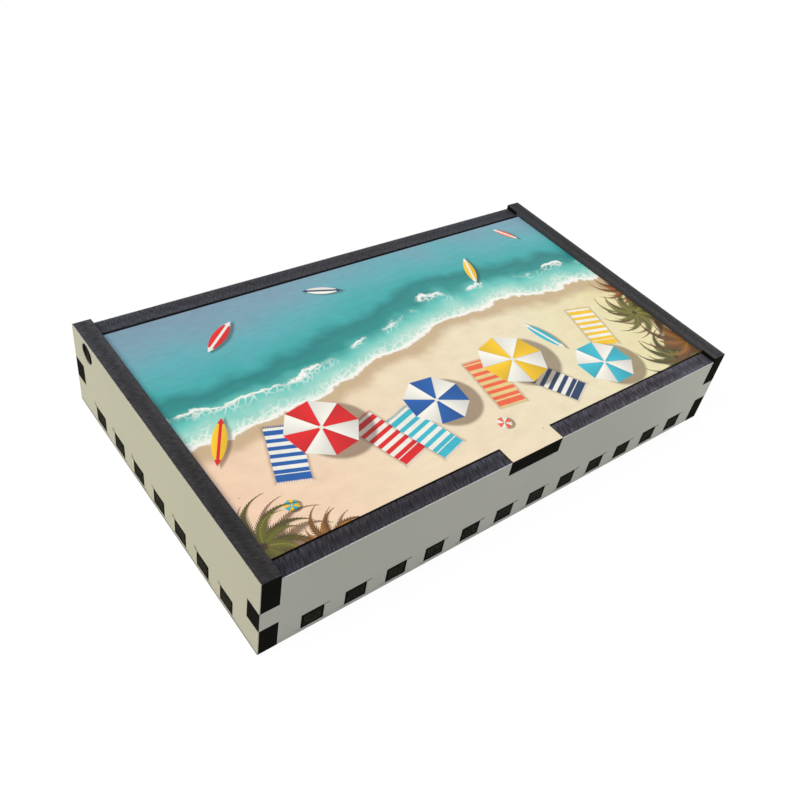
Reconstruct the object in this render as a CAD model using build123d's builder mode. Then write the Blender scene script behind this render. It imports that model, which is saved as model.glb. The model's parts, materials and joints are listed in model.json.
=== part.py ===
from build123d import *
import os
from itertools import combinations_with_replacement
from math import hypot, sqrt

# Domino gift box of laser-cut board, with a hinged lid and a double-six set of tiles.
# Millimetres. X runs along the box, the front is at -Y, Z = 0 is the surface that it stands on,
# and the origin is the middle of the footprint.

# The tiles, which set the size of the tray
tile_length = 50.0
tile_width = 25.0
tile_thickness = 6.0
tile_corner_radius = 1.2
highest_count = 6
tile_columns = 7
tile_rows = 2
tile_gap = 0.4
tile_mix_step = 11

# The engraving on a tile: round pips and a bar between its two halves
pip_diameter = 3.8
pip_pitch = 6.2
bar_length = 18.0
bar_width = 1.0
engraving_depth = 0.4

# The board of the box, and how far the base is carried above the walls' bottom edges
board = 6.0
base_lift = 1.5

# Heights above the tiles, and of the walls against the lid
headroom = 4.2
lid_proud = 0.4
end_wall_lip = 1.7

# The laser-cut joints: base tabs in slots, and one finger in the middle of each corner
long_tab_count = 12
short_tab_count = 7
tab_margin = 7.3
finger_above_base = 3.2
finger_height = 7.7
joint_gap = 0.05

# The lid in its opening, and its tongue in the notch of the front wall
lid_side_gap = 0.25
lid_front_gap = 0.3
tongue_width = 21.2
notch_side_gap = 0.15
tongue_seat_gap = 0.05

# The hinge: an ear at each end of the lid, in a round hole of the end wall
axis_to_back_wall = 4.4
swing_gap = 0.25
back_edge_radius = 1.0
ear_width = 3.0
ear_gap = 0.09
ear_setback = 0.2

# Sizes that follow from those above
tiles = list(combinations_with_replacement(range(highest_count + 1), 2))
tile_layers = -(-len(tiles) // (tile_columns * tile_rows))
column_pitch = tile_width + tile_gap
row_pitch = tile_length + tile_gap
inner_length = tile_columns * column_pitch + tile_gap
inner_width = tile_rows * row_pitch + tile_gap
box_length = inner_length + 2 * board
box_width = inner_width + 2 * board

base_top = base_lift + board
tiles_top = base_top + tile_layers * tile_thickness
lid_underside = tiles_top + headroom
lid_top = lid_underside + board
long_wall_height = lid_top - lid_proud
end_wall_height = long_wall_height + end_wall_lip
finger_low = base_top + finger_above_base

hinge_y = inner_width / 2 - axis_to_back_wall
hinge_z = lid_underside + board / 2
ear_corner = hypot(ear_width, board) / 2
hinge_hole_diameter = 2 * (ear_corner + ear_gap)


def tab_width(wall_length, count):
    """Width of a tab, and of the space between two, on a wall of this inner length."""
    return (wall_length - 2 * tab_margin) / (2 * count - 1)


def lid_back_reach():
    """How far the lid may run behind its axis, so that its eased top corner swings clear of the wall."""
    swing = axis_to_back_wall - swing_gap - back_edge_radius
    rise = board / 2 - back_edge_radius
    return sqrt(swing**2 - rise**2) + back_edge_radius


def pip_places(count):
    """Middles of a half tile's pips, in steps of the pip pitch."""
    places = []
    if count % 2 == 1:
        places.append((0, 0))
    if count >= 2:
        places += [(-1, 1), (1, -1)]
    if count >= 4:
        places += [(-1, -1), (1, 1)]
    if count == 6:
        places += [(-1, 0), (1, 0)]
    return places


def write(part, name):
    """Label a finished piece and write it as one file."""
    part.label = name
    export_step(part, f"parts/{name}.step")


long_tab = tab_width(inner_length, long_tab_count)
short_tab = tab_width(inner_width, short_tab_count)
slot_middle = base_lift + board / 2
finger_middle = finger_low + finger_height / 2

os.makedirs("parts", exist_ok=True)

# Base panel: the floor of the tray, with tabs that reach the outside of all four walls
with BuildPart() as base_panel:
    with BuildSketch(Plane.XY.offset(base_lift)):
        Rectangle(inner_length, inner_width)
        with GridLocations(2 * long_tab, 0, long_tab_count, 1):
            Rectangle(long_tab, box_width)
        with GridLocations(0, 2 * short_tab, 1, short_tab_count):
            Rectangle(box_length, short_tab)
    extrude(amount=board)
write(base_panel.part, "base_panel")

# Front and back walls: they lie between the end walls, and one finger at each end comes through
for name, plane, has_notch in (
    ("front_wall", Plane.XZ.offset(inner_width / 2), True),
    ("back_wall", Plane.XZ.offset(-box_width / 2), False),
):
    with BuildPart() as long_wall:
        with BuildSketch(plane):
            with Locations((0, long_wall_height / 2)):
                Rectangle(inner_length, long_wall_height)
            with Locations((0, finger_middle)):
                Rectangle(box_length, finger_height)
            with Locations((0, slot_middle)):
                with GridLocations(2 * long_tab, 0, long_tab_count, 1):
                    Rectangle(long_tab + 2 * joint_gap, board + 2 * joint_gap, mode=Mode.SUBTRACT)
            if has_notch:
                notch_floor = lid_underside - tongue_seat_gap
                with Locations((0, notch_floor)):
                    Rectangle(
                        tongue_width + 2 * notch_side_gap,
                        long_wall_height - notch_floor,
                        align=(Align.CENTER, Align.MIN),
                        mode=Mode.SUBTRACT,
                    )
        extrude(amount=board)
    write(long_wall.part, name)

# End walls: full width and a little taller, notched at both ends for the fingers
for name, plane in (
    ("left_wall", Plane.YZ.offset(-box_length / 2)),
    ("right_wall", Plane.YZ.offset(inner_length / 2)),
):
    with BuildPart() as end_wall:
        with BuildSketch(plane):
            with Locations((0, end_wall_height / 2)):
                Rectangle(box_width, end_wall_height)
            with Locations((0, finger_middle)):
                with GridLocations(inner_width + board, 0, 2, 1):
                    Rectangle(board, finger_height + 2 * joint_gap, mode=Mode.SUBTRACT)
            with Locations((0, slot_middle)):
                with GridLocations(2 * short_tab, 0, short_tab_count, 1):
                    Rectangle(short_tab + 2 * joint_gap, board + 2 * joint_gap, mode=Mode.SUBTRACT)
            with Locations((hinge_y, hinge_z)):
                Circle(hinge_hole_diameter / 2, mode=Mode.SUBTRACT)
        extrude(amount=board)
    write(end_wall.part, name)

# Lid: one board with the tongue at the front and an ear at each end of the hinge axis
lid_length = inner_length - 2 * lid_side_gap
lid_front = -inner_width / 2 + lid_front_gap
lid_back = hinge_y + lid_back_reach()
with BuildPart() as lid:
    with BuildSketch(Plane.XY.offset(lid_underside)):
        with Locations((0, (lid_front + lid_back) / 2)):
            Rectangle(lid_length, lid_back - lid_front)
        with Locations((0, -box_width / 2)):
            Rectangle(tongue_width, box_width / 2, align=(Align.CENTER, Align.MIN))
        with Locations((0, hinge_y)):
            Rectangle(box_length - 2 * ear_setback, ear_width)
    extrude(amount=board)
    back_top_edge = lid.edges().filter_by(Axis.X).group_by(Axis.Y)[-1].sort_by(Axis.Z)[-1]
    fillet(back_top_edge, back_edge_radius)
write(lid.part, "lid")

# Tiles: a double-six set, mixed over two layers, each with its counts engraved on top
for number, (low_count, high_count) in enumerate(tiles):
    place = number * tile_mix_step % len(tiles)
    layer, spot = divmod(place, tile_columns * tile_rows)
    row, column = divmod(spot, tile_columns)
    tile_x = (column - (tile_columns - 1) / 2) * column_pitch
    tile_y = (row - (tile_rows - 1) / 2) * row_pitch
    tile_z = base_top + layer * tile_thickness
    with BuildPart() as tile:
        with BuildSketch(Plane.XY.offset(tile_z)):
            with Locations((tile_x, tile_y)):
                RectangleRounded(tile_width, tile_length, tile_corner_radius)
        extrude(amount=tile_thickness)
        with BuildSketch(Plane.XY.offset(tile_z + tile_thickness)):
            with Locations((tile_x, tile_y)):
                Rectangle(bar_length, bar_width)
            for count, side in ((low_count, -1), (high_count, 1)):
                half_y = tile_y + side * tile_length / 4
                for across, along in pip_places(count):
                    with Locations((tile_x + across * pip_pitch, half_y + along * pip_pitch)):
                        Circle(pip_diameter / 2)
        extrude(amount=-engraving_depth, mode=Mode.SUBTRACT)
    write(tile.part, f"tile_{low_count}_{high_count}")
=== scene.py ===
"""Domino gift box: the looks of its boards, its lid print and its tiles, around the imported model.

Metres, apart from the print, which is painted in millimetres. X runs along the box, the front is at
-Y, and the box stands on Z = 0.
"""

import json
import logging
import math
import random
from collections.abc import Callable, Iterable
from dataclasses import dataclass, field
from enum import Enum
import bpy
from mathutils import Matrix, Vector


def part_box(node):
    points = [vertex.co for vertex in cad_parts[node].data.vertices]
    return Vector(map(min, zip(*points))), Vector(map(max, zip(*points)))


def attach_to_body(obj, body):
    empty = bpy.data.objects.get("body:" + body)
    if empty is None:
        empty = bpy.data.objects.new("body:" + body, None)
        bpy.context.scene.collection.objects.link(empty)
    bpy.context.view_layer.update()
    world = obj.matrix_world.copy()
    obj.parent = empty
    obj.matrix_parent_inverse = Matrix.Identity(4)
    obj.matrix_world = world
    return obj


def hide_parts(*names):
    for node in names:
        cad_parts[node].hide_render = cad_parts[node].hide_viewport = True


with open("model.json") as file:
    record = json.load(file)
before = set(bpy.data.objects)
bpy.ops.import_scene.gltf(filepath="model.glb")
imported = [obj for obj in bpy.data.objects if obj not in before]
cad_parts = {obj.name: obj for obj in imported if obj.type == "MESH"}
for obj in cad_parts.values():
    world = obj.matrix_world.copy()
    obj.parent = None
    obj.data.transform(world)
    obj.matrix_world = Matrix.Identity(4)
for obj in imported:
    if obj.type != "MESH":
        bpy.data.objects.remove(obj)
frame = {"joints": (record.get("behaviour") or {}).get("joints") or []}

from types import SimpleNamespace

import bmesh
import bpy
from mathutils import Euler, Matrix, Vector

MM = 0.001
# Places nearer than TINY are one when a sheet is cut, and nearer than CLOSE when a finished mesh is read
TINY = 1e-7
CLOSE = 10 * TINY
DIGITS = 7
log = logging.getLogger("gift_box")
Tone = tuple[float, float, float]
Direction = tuple[float, float, float]
Mesh, Vert, Edge, Face = bmesh.types.BMesh, bmesh.types.BMVert, bmesh.types.BMEdge, bmesh.types.BMFace


def linear(tone: Tone) -> tuple[float, float, float, float]:
    """Turn a colour, 0 to 255, into the linear colour that a node takes.

    Args:
        tone: Red, green and blue as a screen shows them.

    Returns:
        The same colour in linear light, with full cover.
    """
    parts = [part / 255 for part in tone]
    light = [part / 12.92 if part < 0.04045 else ((part + 0.055) / 1.055) ** 2.4 for part in parts]
    return (*light, 1.0)


# Node graphs


def arithmetic(operation: str, flipped: bool = False) -> Callable[["Wire", "Wire | float"], "Wire"]:
    """Make one of the operators of a wire.

    Args:
        operation: What its node does.
        flipped: Whether the other value comes first.

    Returns:
        The method.
    """

    def operator(wire: "Wire", other: "Wire | float") -> "Wire":
        """Place the node for two values."""
        return wire.graph.maths(operation, *((other, wire) if flipped else (wire, other)))

    return operator


class Wire:
    """A value that flows out of a node, and takes part in plain arithmetic."""

    __add__ = arithmetic("ADD")
    __radd__ = arithmetic("ADD", flipped=True)
    __sub__ = arithmetic("SUBTRACT")
    __rsub__ = arithmetic("SUBTRACT", flipped=True)
    __mul__ = arithmetic("MULTIPLY")
    __rmul__ = arithmetic("MULTIPLY", flipped=True)
    __truediv__ = arithmetic("DIVIDE")
    __rtruediv__ = arithmetic("DIVIDE", flipped=True)
    at_least = arithmetic("MAXIMUM")
    at_most = arithmetic("MINIMUM")

    def __init__(self, graph: "Graph", socket: bpy.types.NodeSocket) -> None:
        """Hold the socket and the graph that it belongs to."""
        self.graph = graph
        self.socket = socket

    def __neg__(self) -> "Wire":
        """Turn the sign round."""
        return self * -1.0

    def __abs__(self) -> "Wire":
        """Drop the sign."""
        return self.graph.maths("ABSOLUTE", self)


class Graph:
    """A node tree written as a chain of named steps."""

    # Where the Mix node keeps its colour sockets, because their names stand there more than once
    mix_share, mix_low, mix_high, mix_colour = 0, 6, 7, 2

    def __init__(self, tree: bpy.types.NodeTree) -> None:
        """Hold the tree that the nodes go into."""
        self.tree = tree

    def node(self, kind: str, feeds: dict, **settings: object) -> bpy.types.Node:
        """Place a node.

        Args:
            kind: The node's type, without the word ShaderNode.
            feeds: Values for its inputs, by their names or numbers.
            **settings: Options of the node itself.

        Returns:
            The new node.
        """
        made = self.tree.nodes.new("ShaderNode" + kind)
        for name, value in settings.items():
            setattr(made, name, value)
        for name, value in feeds.items():
            self.feed(made.inputs[name], value)
        return made

    def feed(self, socket: bpy.types.NodeSocket, value: object) -> None:
        """Give a socket its value: a link for a Wire, and a constant for anything else."""
        if isinstance(value, Wire):
            self.tree.links.new(value.socket, socket)
        else:
            socket.default_value = value

    def step(self, kind: str, output: str | int, feeds: dict, **settings: object) -> Wire:
        """Place a node and take one of its outputs, by its name or number."""
        return Wire(self, self.node(kind, feeds, **settings).outputs[output])

    def maths(self, operation: str, *values: Wire | float) -> Wire:
        """Work out one number from up to three."""
        return self.step("Math", 0, dict(enumerate(values)), operation=operation)

    def reach(self, x: Wire, y: Wire) -> Wire:
        """Give the distance of a place on a plane from its middle."""
        return self.maths("SQRT", x * x + y * y)

    def dot(self, point: Wire, direction: Wire | Direction) -> Wire:
        """Measure a point along a direction."""
        return self.step("VectorMath", "Value", {0: point, 1: direction}, operation="DOT_PRODUCT")

    def place(self, scale: float = 1.0) -> Wire:
        """Give the point on the piece in its own metres, times a scale."""
        feeds = {"Vector": self.step("TexCoord", "Object", {}), "Scale": (scale, scale, scale)}
        return self.step("Mapping", "Vector", feeds, vector_type="POINT")

    def moved(self, point: Wire, across: object, along: object) -> Wire:
        """Shift a point, which moves the pattern the other way."""
        feeds = {0: point, 1: self.join(across, along)}
        return self.step("VectorMath", "Vector", feeds, operation="SUBTRACT")

    def turned(self, point: Wire, turn: Wire) -> Wire:
        """Turn a point about the Z axis."""
        return self.step("VectorRotate", "Vector", {"Vector": point, "Angle": turn}, rotation_type="Z_AXIS")

    def split(self, point: Wire) -> tuple[Wire, Wire, Wire]:
        """Take a vector apart."""
        made = self.node("SeparateXYZ", {0: point})
        return tuple(Wire(self, socket) for socket in made.outputs)

    def join(self, x: object, y: object, z: object = 0.0) -> Wire:
        """Put a vector together."""
        return self.step("CombineXYZ", 0, {0: x, 1: y, 2: z})

    def mix(self, share: object, low: object, high: object, blend: str = "MIX") -> Wire:
        """Mix two colours.

        Args:
            share: How much of the second colour, 0 to 1.
            low: The first colour.
            high: The second colour.
            blend: How they meet.

        Returns:
            The mixed colour.
        """
        feeds = {self.mix_share: share, self.mix_low: low, self.mix_high: high}
        return self.step("Mix", self.mix_colour, feeds, data_type="RGBA", blend_type=blend)

    def tinted(self, colour: Wire, tint: object) -> Wire:
        """Multiply a colour by another."""
        return self.mix(1.0, colour, tint, "MULTIPLY")

    def dimmed(self, colour: Wire, level: Wire) -> Wire:
        """Multiply a colour by a number."""
        return self.tinted(colour, self.join(level, level, level))

    def fade(self, value: Wire, start: object, end: object, low: object = 0.0, high: object = 1.0) -> Wire:
        """Pass smoothly from low to high while the value goes from start to end."""
        feeds = {"Value": value, "From Min": start, "From Max": end, "To Min": low, "To Max": high}
        return self.step("MapRange", "Result", feeds, interpolation_type="SMOOTHSTEP")

    def ramp(self, value: Wire, stops: list[tuple[float, Tone]]) -> Wire:
        """Colour a value from 0 to 1 by a list of stops."""
        made = self.node("ValToRGB", {"Fac": value})
        elements = made.color_ramp.elements
        while len(elements) < len(stops):
            elements.new(1.0)
        for element, (spot, tone) in zip(elements, stops):
            element.position = spot
            element.color = linear(tone)
        return Wire(self, made.outputs["Color"])

    def noise(
        self, point: Wire, scale: object, detail: float = 2.0, rough: float = 0.5, warp: float = 0.0
    ) -> Wire:
        """Give cloudy noise from 0 to 1."""
        feeds = {"Vector": point, "Scale": scale, "Detail": detail, "Roughness": rough, "Distortion": warp}
        return self.step("TexNoise", "Fac", feeds)

    def cells(self, point: Wire, scale: object, feature: str = "F1", output: str = "Distance") -> Wire:
        """Give a cell pattern: the distance to a cell's middle or edge, or the cell's own colour."""
        return self.step("TexVoronoi", output, {"Vector": point, "Scale": scale}, feature=feature)

    def chance(self, number: Wire) -> Wire:
        """Give one random value, 0 to 1, for each whole number."""
        return self.step("TexWhiteNoise", "Value", {"W": number}, noise_dimensions="1D")

    def attribute(self, name: str) -> Wire:
        """Read a number that the mesh carries at its vertices."""
        return self.step("Attribute", "Fac", {}, attribute_name=name)

    def ray(self, kind: str) -> Wire:
        """Tell whether the ray that looks is of a kind, as 0 or 1."""
        return self.step("LightPath", f"Is {kind} Ray", {})

    def bump(self, height: Wire, depth: float, strength: float) -> Wire:
        """Turn a height, 0 to 1, into a normal of that depth in metres."""
        return self.step("Bump", "Normal", {"Strength": strength, "Distance": depth, "Height": height})

    def use(self, group: bpy.types.NodeTree, **values: object) -> dict[str, Wire]:
        """Place a node group.

        Args:
            group: The group.
            **values: Its inputs by name, with an underscore for a space.

        Returns:
            Its outputs by name.
        """
        made = self.node("Group", {}, node_tree=group)
        for name, value in values.items():
            self.feed(made.inputs[name.replace("_", " ")], value)
        return {socket.name: Wire(self, socket) for socket in made.outputs}


def grouped(name: str, inputs: dict[str, str], outputs: dict[str, str]) -> Callable:
    """Turn a function that paints with nodes into one that builds a node group.

    Args:
        name: The group's name.
        inputs: The type of each input, by its name.
        outputs: The type of each output, by its name.

    Returns:
        A decorator. What it dresses is given a graph, the inputs as wires and what the builder is
        called with, and returns a wire for each output.
    """

    def decorate(paint: Callable[..., dict[str, Wire]]) -> Callable[..., bpy.types.NodeTree]:
        """Dress one painting function."""

        def build(*shared: object) -> bpy.types.NodeTree:
            """Make the tree and its sockets, and paint in it."""
            tree = bpy.data.node_groups.new(name, "ShaderNodeTree")
            for way, sockets in (("INPUT", inputs), ("OUTPUT", outputs)):
                for label, kind in sockets.items():
                    tree.interface.new_socket(name=label, in_out=way, socket_type="NodeSocket" + kind)
            graph = Graph(tree)
            source, sink = tree.nodes.new("NodeGroupInput"), tree.nodes.new("NodeGroupOutput")
            given = {label.lower().replace(" ", "_"): Wire(graph, source.outputs[label]) for label in inputs}
            for label, wire in paint(graph, SimpleNamespace(**given), *shared).items():
                graph.feed(sink.inputs[label], wire)
            return tree

        return build

    return decorate


# Effects that several finishes share


@grouped(
    "laser_hatch",
    {"Point": "Vector", "Along": "Vector", "Pitch": "Float", "Stroke": "Float", "Contrast": "Float"},
    {"Shade": "Float"},
)
def hatch_group(graph: Graph, given: SimpleNamespace) -> dict[str, Wire]:
    """Paint the fine stripes that a laser leaves across the thickness of a cut, from 0 dark to 1 light."""
    run = graph.dot(given.point, given.along)
    x, y, z = graph.split(given.point)
    drift = (x + y + z) / given.stroke
    steps = run / given.pitch
    fine = graph.noise(graph.join(steps, drift), 1.0, 1.0, 0.4) - 0.5
    coarse = graph.noise(graph.join(steps * 0.2, drift * 0.8, 3.0), 1.0, 2.0, 0.6) - 0.5
    blotch = graph.noise(given.point, 60.0, 4.0, 0.65) - 0.5
    shade = (fine * 1.8 + coarse * 0.25 + blotch * 0.5) * given.contrast + 0.5
    return {"Shade": shade.at_least(0.0).at_most(1.0)}


@grouped(
    "board_mottle",
    {"Point": "Vector", "Tone": "Color", "Drift": "Color", "Stain": "Color", "Amount": "Float"},
    {"Colour": "Color", "Grain": "Float"},
)
def mottle_group(graph: Graph, given: SimpleNamespace) -> dict[str, Wire]:
    """Paint slow drifts between three tones, with a little fine grain on them that is also a mask."""
    cloud = graph.noise(given.point, 26.0, 2.0, 0.5, 0.4)
    patch = graph.noise(given.point, 95.0, 3.0, 0.55)
    grain = graph.noise(given.point, 2600.0, 2.0, 0.6)
    first = graph.mix(graph.fade(cloud, 0.38, 0.62) * given.amount, given.tone, given.drift)
    second = graph.mix(graph.fade(patch, 0.5, 0.78) * given.amount * 0.5, first, given.stain)
    return {"Colour": graph.dimmed(second, 1.0 + (grain - 0.5) * 0.1), "Grain": grain}


@grouped(
    "dust_specks",
    {"Point": "Vector", "Spacing": "Float", "Size": "Float", "Share": "Float"},
    {"Mask": "Float"},
)
def speck_group(graph: Graph, given: SimpleNamespace) -> dict[str, Wire]:
    """Mask sparse specks of dust or grit."""
    scale = 1.0 / given.spacing
    away = graph.cells(given.point, scale)
    own = graph.split(graph.cells(given.point, scale, output="Color"))
    chosen = graph.maths("LESS_THAN", own[0], given.share)
    reach = given.size * scale * (own[1] * 0.8 + 0.4)
    return {"Mask": graph.fade(away, reach, reach * 0.4) * chosen}


@grouped(
    "lead_in_ticks",
    {name: "Float" for name in ("Run", "Rise", "Step", "Lean", "Length", "Width")},
    {"Mask": "Float"},
)
def tick_group(graph: Graph, given: SimpleNamespace) -> dict[str, Wire]:
    """Mask the short scorched ticks that the laser leaves where it starts each opening of a row."""
    cell = graph.maths("FLOOR", given.run / given.step + 0.5)
    across = given.run - cell * given.step
    odd = graph.chance(cell * 3.7 + 11.3)
    slope = graph.maths("SQRT", given.lean * given.lean + 1.0)
    slanted = (across - given.rise * given.lean) / slope
    span = given.length * (0.6 + odd * 0.8)
    left = (1.0 - given.rise / span).at_least(0.0)
    line = graph.fade(abs(slanted) / (left + 0.2), given.width, given.width * 0.5)
    tall = graph.fade(left, 0.0, 0.5) * graph.maths("GREATER_THAN", given.rise, -0.3 * MM)
    return {"Mask": line * tall * (0.75 + odd * 0.25)}


# The print on the lid: a beach seen from above


class MotifKind(Enum):
    """A small thing on the beach, by the group that paints it."""

    TOWEL = "beach_towel"
    HULL = "slim_hull"
    SUNSHADE = "sunshade"
    PALM = "palm_crown"


@dataclass(frozen=True)
class Motif:
    """One thing on the printed beach, in millimetres from the lid's middle."""

    kind: MotifKind
    across: float
    along: float
    turn: float
    half_width: float
    half_length: float
    first: Tone
    second: Tone

    def reaches(self, left: float, right: float) -> bool:
        """Tell whether it or its shadow lies in a bay of the print."""
        reach = 1.4 * max(self.half_width, self.half_length) + 2.0
        return left - reach < self.across < right + reach


WHITE, RED, BLUE, YELLOW = (244, 242, 234), (222, 32, 36), (28, 92, 168), (246, 200, 44)
AQUA, CORAL, STRAW, NAVY = (60, 186, 206), (240, 104, 70), (232, 206, 140), (30, 58, 96)
BEACH = (
    Motif(MotifKind.TOWEL, -66.0, -21.0, 0.35, 5.0, 10.5, BLUE, WHITE),
    Motif(MotifKind.TOWEL, -37.5, -30.0, -0.3, 5.0, 10.5, RED, WHITE),
    Motif(MotifKind.TOWEL, -26.0, -33.5, -0.3, 5.0, 10.5, AQUA, WHITE),
    Motif(MotifKind.TOWEL, 8.5, -26.5, 0.12, 5.2, 11.0, CORAL, STRAW),
    Motif(MotifKind.TOWEL, 27.0, -35.0, -0.5, 5.0, 10.5, NAVY, WHITE),
    Motif(MotifKind.TOWEL, 62.0, -20.5, 0.25, 5.0, 10.5, YELLOW, WHITE),
    Motif(MotifKind.HULL, -58.0, 33.0, 0.9, 2.3, 8.5, RED, WHITE),
    Motif(MotifKind.HULL, -15.0, 40.0, -1.2, 1.9, 7.0, WHITE, NAVY),
    Motif(MotifKind.HULL, 43.0, 27.0, 0.4, 2.0, 8.0, YELLOW, WHITE),
    Motif(MotifKind.HULL, 74.0, 41.0, -0.5, 1.5, 5.5, CORAL, WHITE),
    Motif(MotifKind.HULL, -80.0, -8.0, 0.55, 2.2, 9.5, YELLOW, RED),
    Motif(MotifKind.HULL, 41.5, -16.0, -0.25, 2.1, 9.0, AQUA, WHITE),
    Motif(MotifKind.SUNSHADE, -52.0, -17.0, 0.2, 0.0, 12.0, RED, WHITE),
    Motif(MotifKind.SUNSHADE, -14.0, -24.0, 0.5, 0.0, 11.0, BLUE, WHITE),
    Motif(MotifKind.SUNSHADE, 22.0, -20.5, 0.1, 0.0, 12.5, YELLOW, WHITE),
    Motif(MotifKind.SUNSHADE, 51.0, -37.0, 0.35, 0.0, 11.0, AQUA, WHITE),
    Motif(MotifKind.SUNSHADE, -1.5, -42.5, 0.3, 0.0, 2.6, CORAL, WHITE),
    Motif(MotifKind.SUNSHADE, -75.0, -38.0, 0.0, 0.0, 2.2, AQUA, YELLOW),
    Motif(MotifKind.PALM, 78.0, -48.0, 0.9, 0.0, 17.0, (96, 104, 40), (58, 44, 22)),
    Motif(MotifKind.PALM, 90.0, -43.0, 0.1, 0.0, 21.0, (150, 96, 36), (66, 46, 22)),
    Motif(MotifKind.PALM, 84.0, -22.0, 0.5, 0.0, 16.0, (122, 124, 44), (70, 50, 24)),
    Motif(MotifKind.PALM, 92.0, -8.0, 0.2, 0.0, 14.0, (176, 104, 40), (74, 50, 24)),
    Motif(MotifKind.PALM, -88.0, -46.0, 0.3, 0.0, 18.0, (112, 112, 40), (60, 46, 22)),
    Motif(MotifKind.PALM, -72.0, -54.0, 0.7, 0.0, 14.0, (170, 108, 42), (66, 48, 24)),
)

# How the print is divided along the lid, in millimetres, because one material holds only so many motifs
PRINT_BAYS = (-200.0, -33.0, 12.0, 52.0, 200.0)


@grouped("beach_ground", {"Spot": "Vector"}, {"Colour": "Color"})
def beach_group(graph: Graph, given: SimpleNamespace, effects: "Effects") -> dict[str, Wire]:
    """Paint the beach itself: sea, surf and sand by their distance from a winding shore.

    Args:
        graph: The group's graph.
        given: The point on the lid in millimetres.
        effects: The shared groups, with the specks in place.

    Returns:
        The beach's colour.
    """
    spot = given.spot
    x, y, _ = graph.split(spot)
    wander = graph.noise(spot, 0.045, 3.0, 0.5) * 14.0
    shore = 1.5 + x * 0.05 + graph.maths("SINE", x / 25.0 + 0.7) * 5.5
    offshore = y - shore - wander + 7.0
    sand, water = sand_colour(graph, spot, offshore, effects), water_colour(graph, spot, offshore)
    picture = graph.mix(graph.fade(offshore, -0.5, 0.5), sand, water)
    return {"Colour": surf_colour(graph, spot, offshore, picture)}


def water_colour(graph: Graph, spot: Wire, offshore: Wire) -> Wire:
    """Paint the water by its distance from the shore.

    Args:
        graph: The beach's graph.
        spot: The point on the lid in millimetres.
        offshore: Distance out from the shore in millimetres.

    Returns:
        The water's colour.
    """
    x, y, _ = graph.split(spot)
    sway = graph.noise(spot, 0.06, 2.0) * 9.0 - 4.5
    colour = graph.ramp(
        (offshore + sway) / 60.0,
        [
            (0.0, (206, 232, 218)),
            (0.06, (168, 220, 208)),
            (0.15, (104, 198, 190)),
            (0.23, (38, 142, 140)),
            (0.3, (32, 128, 130)),
            (0.38, (62, 168, 170)),
            (0.55, (92, 172, 182)),
            (0.75, (118, 160, 178)),
            (1.0, (122, 148, 170)),
        ],
    )
    streaks = graph.noise(graph.join(x * 0.1 + y * 0.02, y * 0.75), 1.0, 4.0, 0.6)
    ripples = graph.cells(graph.join(x * 0.3, y * 0.55), 1.0, "SMOOTH_F1")
    return graph.dimmed(colour, 0.84 + streaks * 0.24 + ripples * 0.1)


def sand_colour(graph: Graph, spot: Wire, offshore: Wire, effects: "Effects") -> Wire:
    """Paint the sand, wet by the water, peach at the left and straw at the right."""
    x, y, _ = graph.split(spot)
    dry = graph.ramp(
        x / 178.0 + 0.4 + graph.noise(spot, 0.04) * 0.2,
        [(0.0, (243, 209, 181)), (0.35, (241, 222, 193)), (0.7, (238, 227, 196)), (1.0, (234, 223, 170))],
    )
    dimples = graph.cells(spot, 0.19, "SMOOTH_F1")
    drifts = graph.noise(graph.join(x * 0.12, y * 0.3), 1.0, 3.0, 0.55)
    grain = graph.noise(spot, 2.1, 3.0, 0.7)
    dry = graph.dimmed(dry, 0.8 + dimples * 0.1 + drifts * 0.16 + grain * 0.14)
    dry = effects.specked(graph, spot, dry, (124, 108, 78), 0.6, 3.6, 0.3, 0.22)
    soaked = graph.fade(offshore + graph.noise(spot, 0.2) * 3.0, -7.5, -1.5)
    return graph.mix(soaked * 0.85, dry, linear((196, 170, 134)))


def surf_colour(graph: Graph, spot: Wire, offshore: Wire, under: Wire) -> Wire:
    """Lay the foam: a solid edge, a lace behind it, and a broken crest further out."""
    torn = offshore + graph.noise(spot, 0.35, 4.0, 0.65) * 4.0 - 2.0
    lace = graph.cells(graph.moved(spot, torn * 0.4, torn * 0.3), 0.42, "DISTANCE_TO_EDGE")
    lines = graph.fade(lace, 0.16, 0.02)
    edge = graph.fade(torn, -0.9, 0.0) * graph.fade(torn, 1.7, 0.6)
    web = lines * graph.fade(torn, 6.0, 1.0) * graph.fade(torn, -0.6, 0.2)
    crest = torn - 9.0 - graph.noise(spot, 0.05) * 5.0
    broken = graph.fade(graph.noise(spot, 0.09, 2.0), 0.42, 0.56)
    line = graph.fade(crest, -1.0, 0.0) * graph.fade(crest, 1.1, 0.2) * broken
    trail = lines * graph.fade(crest, -4.5, -0.5) * graph.fade(crest, 0.6, 0.0) * broken
    foam = edge.at_least(web * 0.8).at_least(line.at_least(trail * 0.7)).at_most(1.0)
    return graph.mix(foam, under, linear((247, 248, 242)))


def motif(kind: MotifKind) -> Callable:
    """Dress a function that paints a motif over the colour under it, with sizes in millimetres."""
    inputs = {"Under": "Color", "Spot": "Vector", "Turn": "Float", "First": "Color", "Second": "Color"}
    sizes = {"Half Width": "Float", "Half Length": "Float"}
    return grouped(kind.value, inputs | sizes, {"Colour": "Color"})


def darker(graph: Graph, colour: Wire, cover: Wire) -> Wire:
    """Lay a soft shadow over a colour."""
    return graph.mix(cover, colour, graph.tinted(colour, linear((128, 112, 104))))


def inside(graph: Graph, outside: Wire, blur: float = 0.12) -> Wire:
    """Cover what lies inside an outline, from the distance outside it and the blur of its edge."""
    return graph.fade(outside, blur, -blur)


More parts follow.
